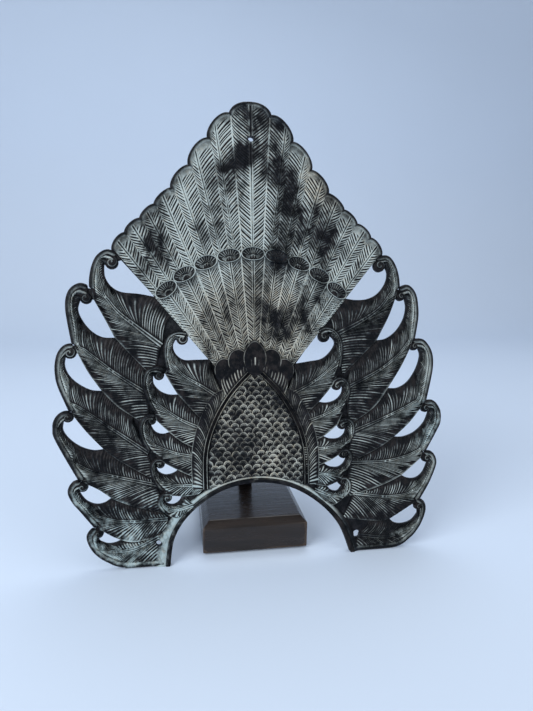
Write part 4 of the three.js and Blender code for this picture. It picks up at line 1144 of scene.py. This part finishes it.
class Recipe:
    """One finish, made of shader nodes on the piece's own coordinates."""

    def __init__(self, name):
        self.material = bpy.data.materials.new(name)
        self.material.use_nodes = True
        self.tree = self.material.node_tree
        self.tree.nodes.clear()
        self.place = self.node("ShaderNodeTexCoord", output="Object")

    def node(self, kind, settings=None, inputs=None, output=0):
        made = self.tree.nodes.new(kind)
        for name, value in (settings or {}).items():
            setattr(made, name, value)
        for name, value in (inputs or {}).items():
            socket = made.inputs[name]
            if isinstance(value, Wire):
                self.tree.links.new(value.socket, socket)
            elif socket.type == "RGBA":
                socket.default_value = (*value[:3], 1)
            else:
                socket.default_value = value
        return Wire(self, made.outputs[output])

    def noise(self, scale, detail=3.0, roughness=0.55, stretch=(1, 1, 1), distortion=0.0, output=0):
        vector = self.place
        if stretch != (1, 1, 1):
            vector = self.node("ShaderNodeMapping", None, {"Vector": vector, "Scale": stretch})
        inputs = {"Vector": vector, "Scale": scale, "Detail": detail, "Roughness": roughness,
                  "Distortion": distortion}
        return self.node("ShaderNodeTexNoise", None, inputs, output)

    def mixed(self, share, first, second):
        return self.node("ShaderNodeMix", {"data_type": "RGBA"}, {0: share, 6: first, 7: second}, output=2)

    def vector(self, operation, *values, output="Vector"):
        return self.node("ShaderNodeVectorMath", {"operation": operation}, dict(enumerate(values)), output)

    def spots(self, places, softness=0.5, stray=0.0):
        """How near a point is to the given places, each across and up the plaque and with its reach."""
        total = 0
        drift = self.noise(26, 2, 0.5, stretch=(1, 1, 0.6), output="Color")
        astray = self.vector("MULTIPLY_ADD", drift, (stray, stray, stray), self.place)
        for across, up, reach in places:
            centre = leaned([across, up, SPOT_LEVEL]) + stray / 2
            away = self.vector("DISTANCE", astray, tuple(float(c) for c in centre), output="Value")
            total = total + away.step(reach * MM, reach * MM * softness)
        return total.math("MINIMUM", total, 1.6)

    def bumped(self, *layers):
        """Normal with several layers of relief on it, each a height and its depth in metres."""
        normal = None
        for height, depth in layers:
            inputs = {"Height": height, "Distance": depth, "Strength": 1.0}
            if normal is not None:
                inputs["Normal"] = normal
            normal = self.node("ShaderNodeBump", None, inputs)
        return normal

    def shaded(self, **inputs):
        """The finished material, with the given values on its shader."""
        named = {name.replace("_", " "): value for name, value in inputs.items()}
        shader = self.node("ShaderNodeBsdfPrincipled", None, named)
        end = self.tree.nodes.new("ShaderNodeOutputMaterial")
        self.tree.links.new(shader.socket, end.inputs["Surface"])
        return self.material


def colours():
    return bpy.context.scene.plaque_colours


def times(factor, tone):
    return tuple(factor * c for c in tone)


def patinated_brass():
    """Dark patina, wiped pale on its ridges and brown in its grooves, with oily places and with hazy places
    whose bloom carries a painted reflection of the light.
    """
    if "casting patina" in bpy.data.materials:
        return bpy.data.materials["casting patina"]
    made = Recipe("casting patina")
    shade = colours()
    wear_and_light = made.node("ShaderNodeAttribute", {"attribute_name": "wear_and_light"}, output="Fac")
    cloud = made.noise(75, 5, 0.62, stretch=(1, 1, 0.7), distortion=0.6)
    smoke = made.noise(30, 5, 0.62, stretch=(1, 1, 0.45), distortion=0.5)
    brush = made.noise(150, 5, 0.7)
    grit = made.noise(1100, 3, 0.6)
    pits = made.noise(420, 2, 0.5)
    # Height above the plaque's back: only the carved side is wiped and takes the haze with its painted
    # reflection
    sine, cosine = math.sin(sizes().lean), math.cos(sizes().lean)
    relief = made.vector("DOT_PRODUCT", made.place, (0, -cosine, sine), output="Value")
    carved_side = (relief + PLAQUE_AT[1] * MM * cosine).step(0.0031, 0.0036)
    oily = (made.spots(OILY, 0.0, stray=0.02) + (cloud - 0.5) * 2.4).step(0.35, 1.5)
    # Haze: a pale bloom with a painted blue reflection of the light in it, strongest along the arch and at
    # the feet
    haze_and_reflection = made.spots(HAZE_AND_REFLECTION, 0.1, stray=0.04)
    haze_and_reflection = haze_and_reflection.math("MINIMUM", haze_and_reflection, 1) * carved_side
    wiped = made.spots(WIPED, 0.0, stray=0.04).step(0, 1) * cloud.step(0.44, 0.66) * carved_side
    # How pale the surface is: the wax that it holds, with the painted shade, highlight and reflection carried
    # in it
    amount = wear_and_light * (1 + (smoke - 0.5) * 3.4 + (brush - 0.5) * 1.4 - oily * 0.62) + (grit - 0.5) * 0.2
    amount = amount + haze_and_reflection * brush.step(0.42, 0.7) * 0.3 + wiped * brush.step(0.3, 0.6) * 0.42
    pale = amount.step(0.14, 0.95)
    skin = made.mixed(brush.step(0.4, 0.75), shade.patina, times(4, shade.patina))
    stained = wear_and_light.step(0.22, 0.02) * brush.step(0.42, 0.62)
    skin = made.mixed(stained * 0.14, skin, shade.dirt)
    # Where hazy, the wax takes the blue-green of the bloom and its painted reflection
    wax = made.mixed(haze_and_reflection.step(0.15, 0.9), shade.rubbed, shade.bloom_and_reflection)
    creamy = made.spots(CREAM, 0.3, stray=0.03).step(0, 1) * 0.45 + pits.step(0.45, 0.75, 0.4)
    wax = made.mixed(creamy, wax, shade.cream)
    rough = 0.42 + pale * 0.25 + (grit - 0.5) * 0.2 - oily * 0.08
    return made.shaded(Base_Color=made.mixed(pale * 0.92, skin, wax), Roughness=rough,
                       Specular_IOR_Level=0.1, Normal=made.bumped((pits, 0.0003), (grit, 0.00016)))


def edge_wear(made, low, high, reach):
    """How near a point is to an edge of the box between two corners."""
    split = made.node("ShaderNodeSeparateXYZ", None, {"Vector": made.place})
    near = []
    for axis in range(3):
        middle, half = (low[axis] + high[axis]) / 2, (high[axis] - low[axis]) / 2
        away = Wire(made, split.socket.node.outputs[axis]) - middle
        near.append(away.math("ABSOLUTE", away).step(half - reach, half))
    return near[0] * near[1] + near[1] * near[2] + near[0] * near[2]


def dark_hardwood():
    """Dark stained and waxed hardwood, with its grain across the block and worn brown along the edges."""
    made = Recipe("waxed hardwood")
    grain = made.noise(55, 6, 0.65, stretch=(0.35, 2.6, 2.6), distortion=0.6)
    pores = made.noise(420, 3, 0.6, stretch=(0.12, 1, 1))
    cloud = made.noise(28, 4, 0.6)
    wear = edge_wear(made, *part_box("base_block"), 4 * MM)
    shade = colours()
    wood = made.mixed(grain.step(0.35, 0.7), shade.wood, times(2, shade.wood))
    wood = made.mixed(cloud.step(0.45, 0.75) * 0.6, wood, times(0.22, shade.wood_worn))
    rubbed = (wear * 0.8 + (cloud - 0.5) * 1.6 + (pores - 0.5) * 0.5).step(0.45, 0.9)
    wood = made.mixed(rubbed * 0.4, wood, shade.wood_worn)
    rough = 0.2 + (1 - grain) * 0.16 + rubbed * 0.3
    return made.shaded(Base_Color=wood, Roughness=rough, Specular_IOR_Level=0.3, Coat_Weight=0.3,
                       Coat_Roughness=0.12, Normal=made.bumped((grain, 0.0004), (pores, 0.00025)))


def black_steel():
    """Flat steel under satin black enamel, with a fine orange peel and a few rubbed places."""
    made = Recipe("satin enamel")
    peel = made.noise(700, 2)
    cloud = made.noise(60, 4)
    rub = (cloud + (peel - 0.5) * 0.3).step(0.62, 0.74)
    tone = made.mixed(rub * 0.6, colours().steel, colours().steel_worn)
    return made.shaded(Base_Color=tone, Roughness=0.34 + cloud * 0.25, Metallic=rub * 0.8,
                       Normal=made.bumped((peel, 0.0001)))


def screw_steel():
    """Zinc plated screws, dulled and scratched."""
    made = Recipe("dulled zinc")
    scratch = made.noise(900, 4, 0.7, stretch=(1, 0.15, 1))
    cloud = made.noise(300, 3)
    tone = made.mixed(cloud.step(0.4, 0.7), colours().screw, times(0.45, colours().screw))
    return made.shaded(Base_Color=tone, Roughness=0.26 + scratch * 0.3, Metallic=0.9,
                       Normal=made.bumped((scratch, 0.00008)))


def felt():
    """Pressed wool felt, with a fuzzy surface."""
    made = Recipe("pressed felt")
    fibre = made.noise(2200, 5, 0.75, distortion=1.5)
    clump = made.noise(500, 3)
    tone = made.mixed(fibre, colours().felt, times(2.6, colours().felt))
    return made.shaded(Base_Color=tone, Roughness=0.9 + (clump - 0.5) * 0.1, Sheen_Weight=0.3,
                       Normal=made.bumped((fibre, 0.0004), (clump, 0.0005)))


def pale_floor():
    """Plain pale floor and backdrop."""
    made = Recipe("pale floor")
    tone = made.mixed(made.noise(3, 2), colours().floor, times(0.97, colours().floor))
    return made.shaded(Base_Color=tone, Roughness=0.8)


def block():
    """The stand's block: sawn, chamfered round its top and rubbed soft along its edges."""
    low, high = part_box("base_block")
    stand = bpy.context.scene.stand_sizes
    deselect()
    bpy.ops.mesh.primitive_cube_add(size=1, location=(low + high) / 2, scale=high - low)
    piece = called(bpy.context.object, "display_block")
    bpy.ops.object.transform_apply(location=True, rotation=True, scale=True)
    bpy.ops.object.mode_set(mode="EDIT")
    bpy.ops.mesh.select_mode(type="EDGE")
    bpy.ops.mesh.select_all(action="DESELECT")
    bpy.ops.object.mode_set(mode="OBJECT")
    for edge in piece.data.edges:
        edge.select = min(piece.data.vertices[i].co.z for i in edge.vertices) > high.z - 1e-5
    bpy.ops.object.mode_set(mode="EDIT")
    bpy.ops.mesh.bevel(offset=stand.chamfer, segments=1, affect="EDGES")
    bpy.ops.object.mode_set(mode="OBJECT")
    soft = piece.modifiers.new("rubbed edges", "BEVEL")
    soft.width, soft.segments = stand.worn_edge, 3
    soft.limit_method, soft.angle_limit = "ANGLE", math.radians(20)
    bpy.ops.object.modifier_apply(modifier=soft.name)
    bpy.ops.object.shade_smooth_by_angle(angle=math.radians(30))
    finished(piece, dark_hardwood())
    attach(piece, "stand")
    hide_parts("base_block")


def dress(names, finish):
    """Gives the finish to CAD nodes that are shown as they are."""
    for name in names:
        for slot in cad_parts[name].material_slots:
            slot.material = finish


class PLAQUE_OT_plate(bpy.types.Operator):
    """Casts the pierced plate behind the carving"""

    bl_idname = "plaque.plate"
    bl_label = "Casting plate"

    def execute(self, context):
        cut_at_floor(set_down(casting_plate()))
        return {"FINISHED"}


class PLAQUE_OT_wings(bpy.types.Operator):
    """Carves the outer and inner plumes with their rims and rolled tips"""

    bl_idname = "plaque.wings"
    bl_label = "Plumes"

    def execute(self, context):
        for wing in WINGS:
            for piece in wing_pieces(wing):
                cut_at_floor(set_down(piece))
        return {"FINISHED"}


class PLAQUE_OT_fan(bpy.types.Operator):
    """Carves the fan of long feathers, the short feathers with their eyes, and the scalloped rim"""

    bl_idname = "plaque.fan"
    bl_label = "Fan"

    def execute(self, context):
        longs = long_feathers()
        longs[7] = bored(longs[7], HOLES[0])
        shorts = short_feathers()
        eyes = [eye(step) for step in EYE_STEPS]
        width, height = mm(sizes().rim_width), mm(sizes().rim_height)
        rims = [rod("scallop", line, width, height, height / 2, inside=-1) for line in scallops()]
        for name, pieces in (("fan_left_feathers", longs[:7]), ("fan_right_feathers", longs[7:]),
                             ("short_feathers", shorts), ("feather_eyes", eyes), ("fan_rim", rims)):
            set_down(united(name, pieces))
        return {"FINISHED"}


class PLAQUE_OT_breast(bpy.types.Operator):
    """Carves the scaled breast, its borders and the feathered bands beside it"""

    bl_idname = "plaque.breast"
    bl_label = "Breast"

    def execute(self, context):
        set_down(breast())
        set_down(breast_borders())
        set_down(united("side_bands", [side_band(side) for side in (-1, 1)]))
        return {"FINISHED"}


class PLAQUE_OT_crest(bpy.types.Operator):
    """Carves the crest of rounded lobes and the folds that spread up into them"""

    bl_idname = "plaque.crest"
    bl_label = "Crest"

    def execute(self, context):
        set_down(united("crest_lobes", [crest_lobe(lobe) for lobe in CREST_LOBES]))
        set_down(crest_folds())
        return {"FINISHED"}


class PLAQUE_OT_arch(bpy.types.Operator):
    """Models the square bar along the arch and the smooth band above it"""

    bl_idname = "plaque.arch"
    bl_label = "Arch"

    def execute(self, context):
        for piece in arch_pieces():
            cut_at_floor(set_down(piece))
        return {"FINISHED"}


class PLAQUE_OT_stand(bpy.types.Operator):
    """Models the block and finishes the strap, cross bar, screws and felts of the stand"""

    bl_idname = "plaque.stand"
    bl_label = "Stand"

    def execute(self, context):
        block()
        dress(["back_strap", "cross_bar"], black_steel())
        dress(["strap_screw_1", "strap_screw_2", "cross_bar_screw"], screw_steel())
        dress(["rest_felt_left", "rest_felt_right"] + [f"foot_pad_{i}" for i in range(1, 5)], felt())
        return {"FINISHED"}


class PLAQUE_OT_stage(bpy.types.Operator):
    """Sets the floor and backdrop, the soft light and the camera"""

    bl_idname = "plaque.stage"
    bl_label = "Stage"

    def execute(self, context):
        backdrop()
        lights()
        camera()
        return {"FINISHED"}


def backdrop():
    """A pale floor that runs up into a wall behind the plaque."""
    deselect()
    bpy.ops.mesh.primitive_grid_add(x_subdivisions=4, y_subdivisions=90, size=1)
    floor = called(bpy.context.object, "floor")
    start, bend, depth, wide, front = 1.1, 0.7, 9.0, 9.0, -4.0
    for vertex in floor.data.vertices:
        along = (vertex.co.y + 0.5) * depth + front
        turn = min(max((along - start) / bend, 0), math.pi / 2)
        y = min(along, start) + bend * math.sin(turn)
        z = bend * (1 - math.cos(turn)) + max(along - start - bend * math.pi / 2, 0)
        vertex.co = (vertex.co.x * wide, y, z)
    bpy.ops.object.shade_smooth()
    floor.data.materials.append(pale_floor())


def lights():
    """Soft light from all round, a window to the left, a weak fill and a lamp from behind above."""
    world = bpy.data.worlds.new("studio")
    bpy.context.scene.world = world
    world.use_nodes = True
    sky = world.node_tree.nodes["Background"]
    sky.inputs["Color"].default_value = (*colours().sky, 1)
    sky.inputs["Strength"].default_value = 0.45
    aim = Vector((0, -0.02, 0.17))
    for name, place, size, power, tint in (
            ("window", (-1.25, -1.0, 0.95), 1.2, 26, (0.93, 0.97, 1.0)),
            ("fill", (1.3, -1.1, 0.7), 1.2, 7, (1.0, 0.98, 0.95)),
            ("top", (0.2, 0.5, 1.7), 1.0, 9, (0.95, 0.98, 1.0))):
        lamp = bpy.data.lights.new(name, "AREA")
        lamp.shape, lamp.size, lamp.energy, lamp.color = "SQUARE", size, power, tint
        light = linked(name, lamp)
        light.location = place
        light.rotation_euler = (aim - Vector(place)).to_track_quat("-Z", "Y").to_euler()


def camera():
    """The camera, where the photo was taken from."""
    place = bpy.context.scene.plaque_camera
    lens = bpy.data.cameras.new("camera")
    lens.sensor_fit, lens.sensor_width, lens.sensor_height, lens.lens = "AUTO", 36, 36, place.lens
    made = linked("camera", lens)
    turn = Matrix.Rotation(-place.turn, 4, "Z") @ Matrix.Rotation(math.pi / 2 - place.tilt, 4, "X")
    made.matrix_world = Matrix.Translation(place.place) @ turn @ Matrix.Rotation(place.roll, 4, "Z")
    bpy.context.scene.camera = made
    bpy.context.scene.view_settings.view_transform = "Standard"


class PLAQUE_PT_steps(bpy.types.Panel):
    """Steps of the plaque, in the order of making, and the sizes that they use"""

    bl_idname = "PLAQUE_PT_steps"
    bl_label = "Aureole plaque"
    bl_space_type = "VIEW_3D"
    bl_region_type = "UI"
    bl_category = "Plaque"

    def draw(self, context):
        for step in STEPS:
            self.layout.operator(step.bl_idname)
        for group in (context.scene.plaque_sizes, context.scene.stand_sizes, context.scene.plaque_colours,
                      context.scene.plaque_camera):
            box = self.layout.box()
            for name in group.bl_rna.properties.keys():
                if name not in ("rna_type", "name"):
                    box.prop(group, name)


STEPS = [PLAQUE_OT_plate, PLAQUE_OT_wings, PLAQUE_OT_fan, PLAQUE_OT_breast, PLAQUE_OT_crest, PLAQUE_OT_arch,
         PLAQUE_OT_stand, PLAQUE_OT_stage]
GROUPS = {"plaque_sizes": PlaqueSizes, "stand_sizes": StandSizes, "plaque_colours": Colours,
          "plaque_camera": CameraPlace}


def register():
    for group in GROUPS.values():
        bpy.utils.register_class(group)
    for name, group in GROUPS.items():
        setattr(bpy.types.Scene, name, PointerProperty(type=group))
    for kind in STEPS + [PLAQUE_PT_steps]:
        bpy.utils.register_class(kind)


def unregister():
    for kind in [PLAQUE_PT_steps] + STEPS[::-1]:
        bpy.utils.unregister_class(kind)
    for name, group in GROUPS.items():
        delattr(bpy.types.Scene, name)
        bpy.utils.unregister_class(group)


def main():
    register()
    for step in STEPS:
        family, name = step.bl_idname.split(".")
        getattr(getattr(bpy.ops, family), name)()


if __name__ == "__main__":
    main()
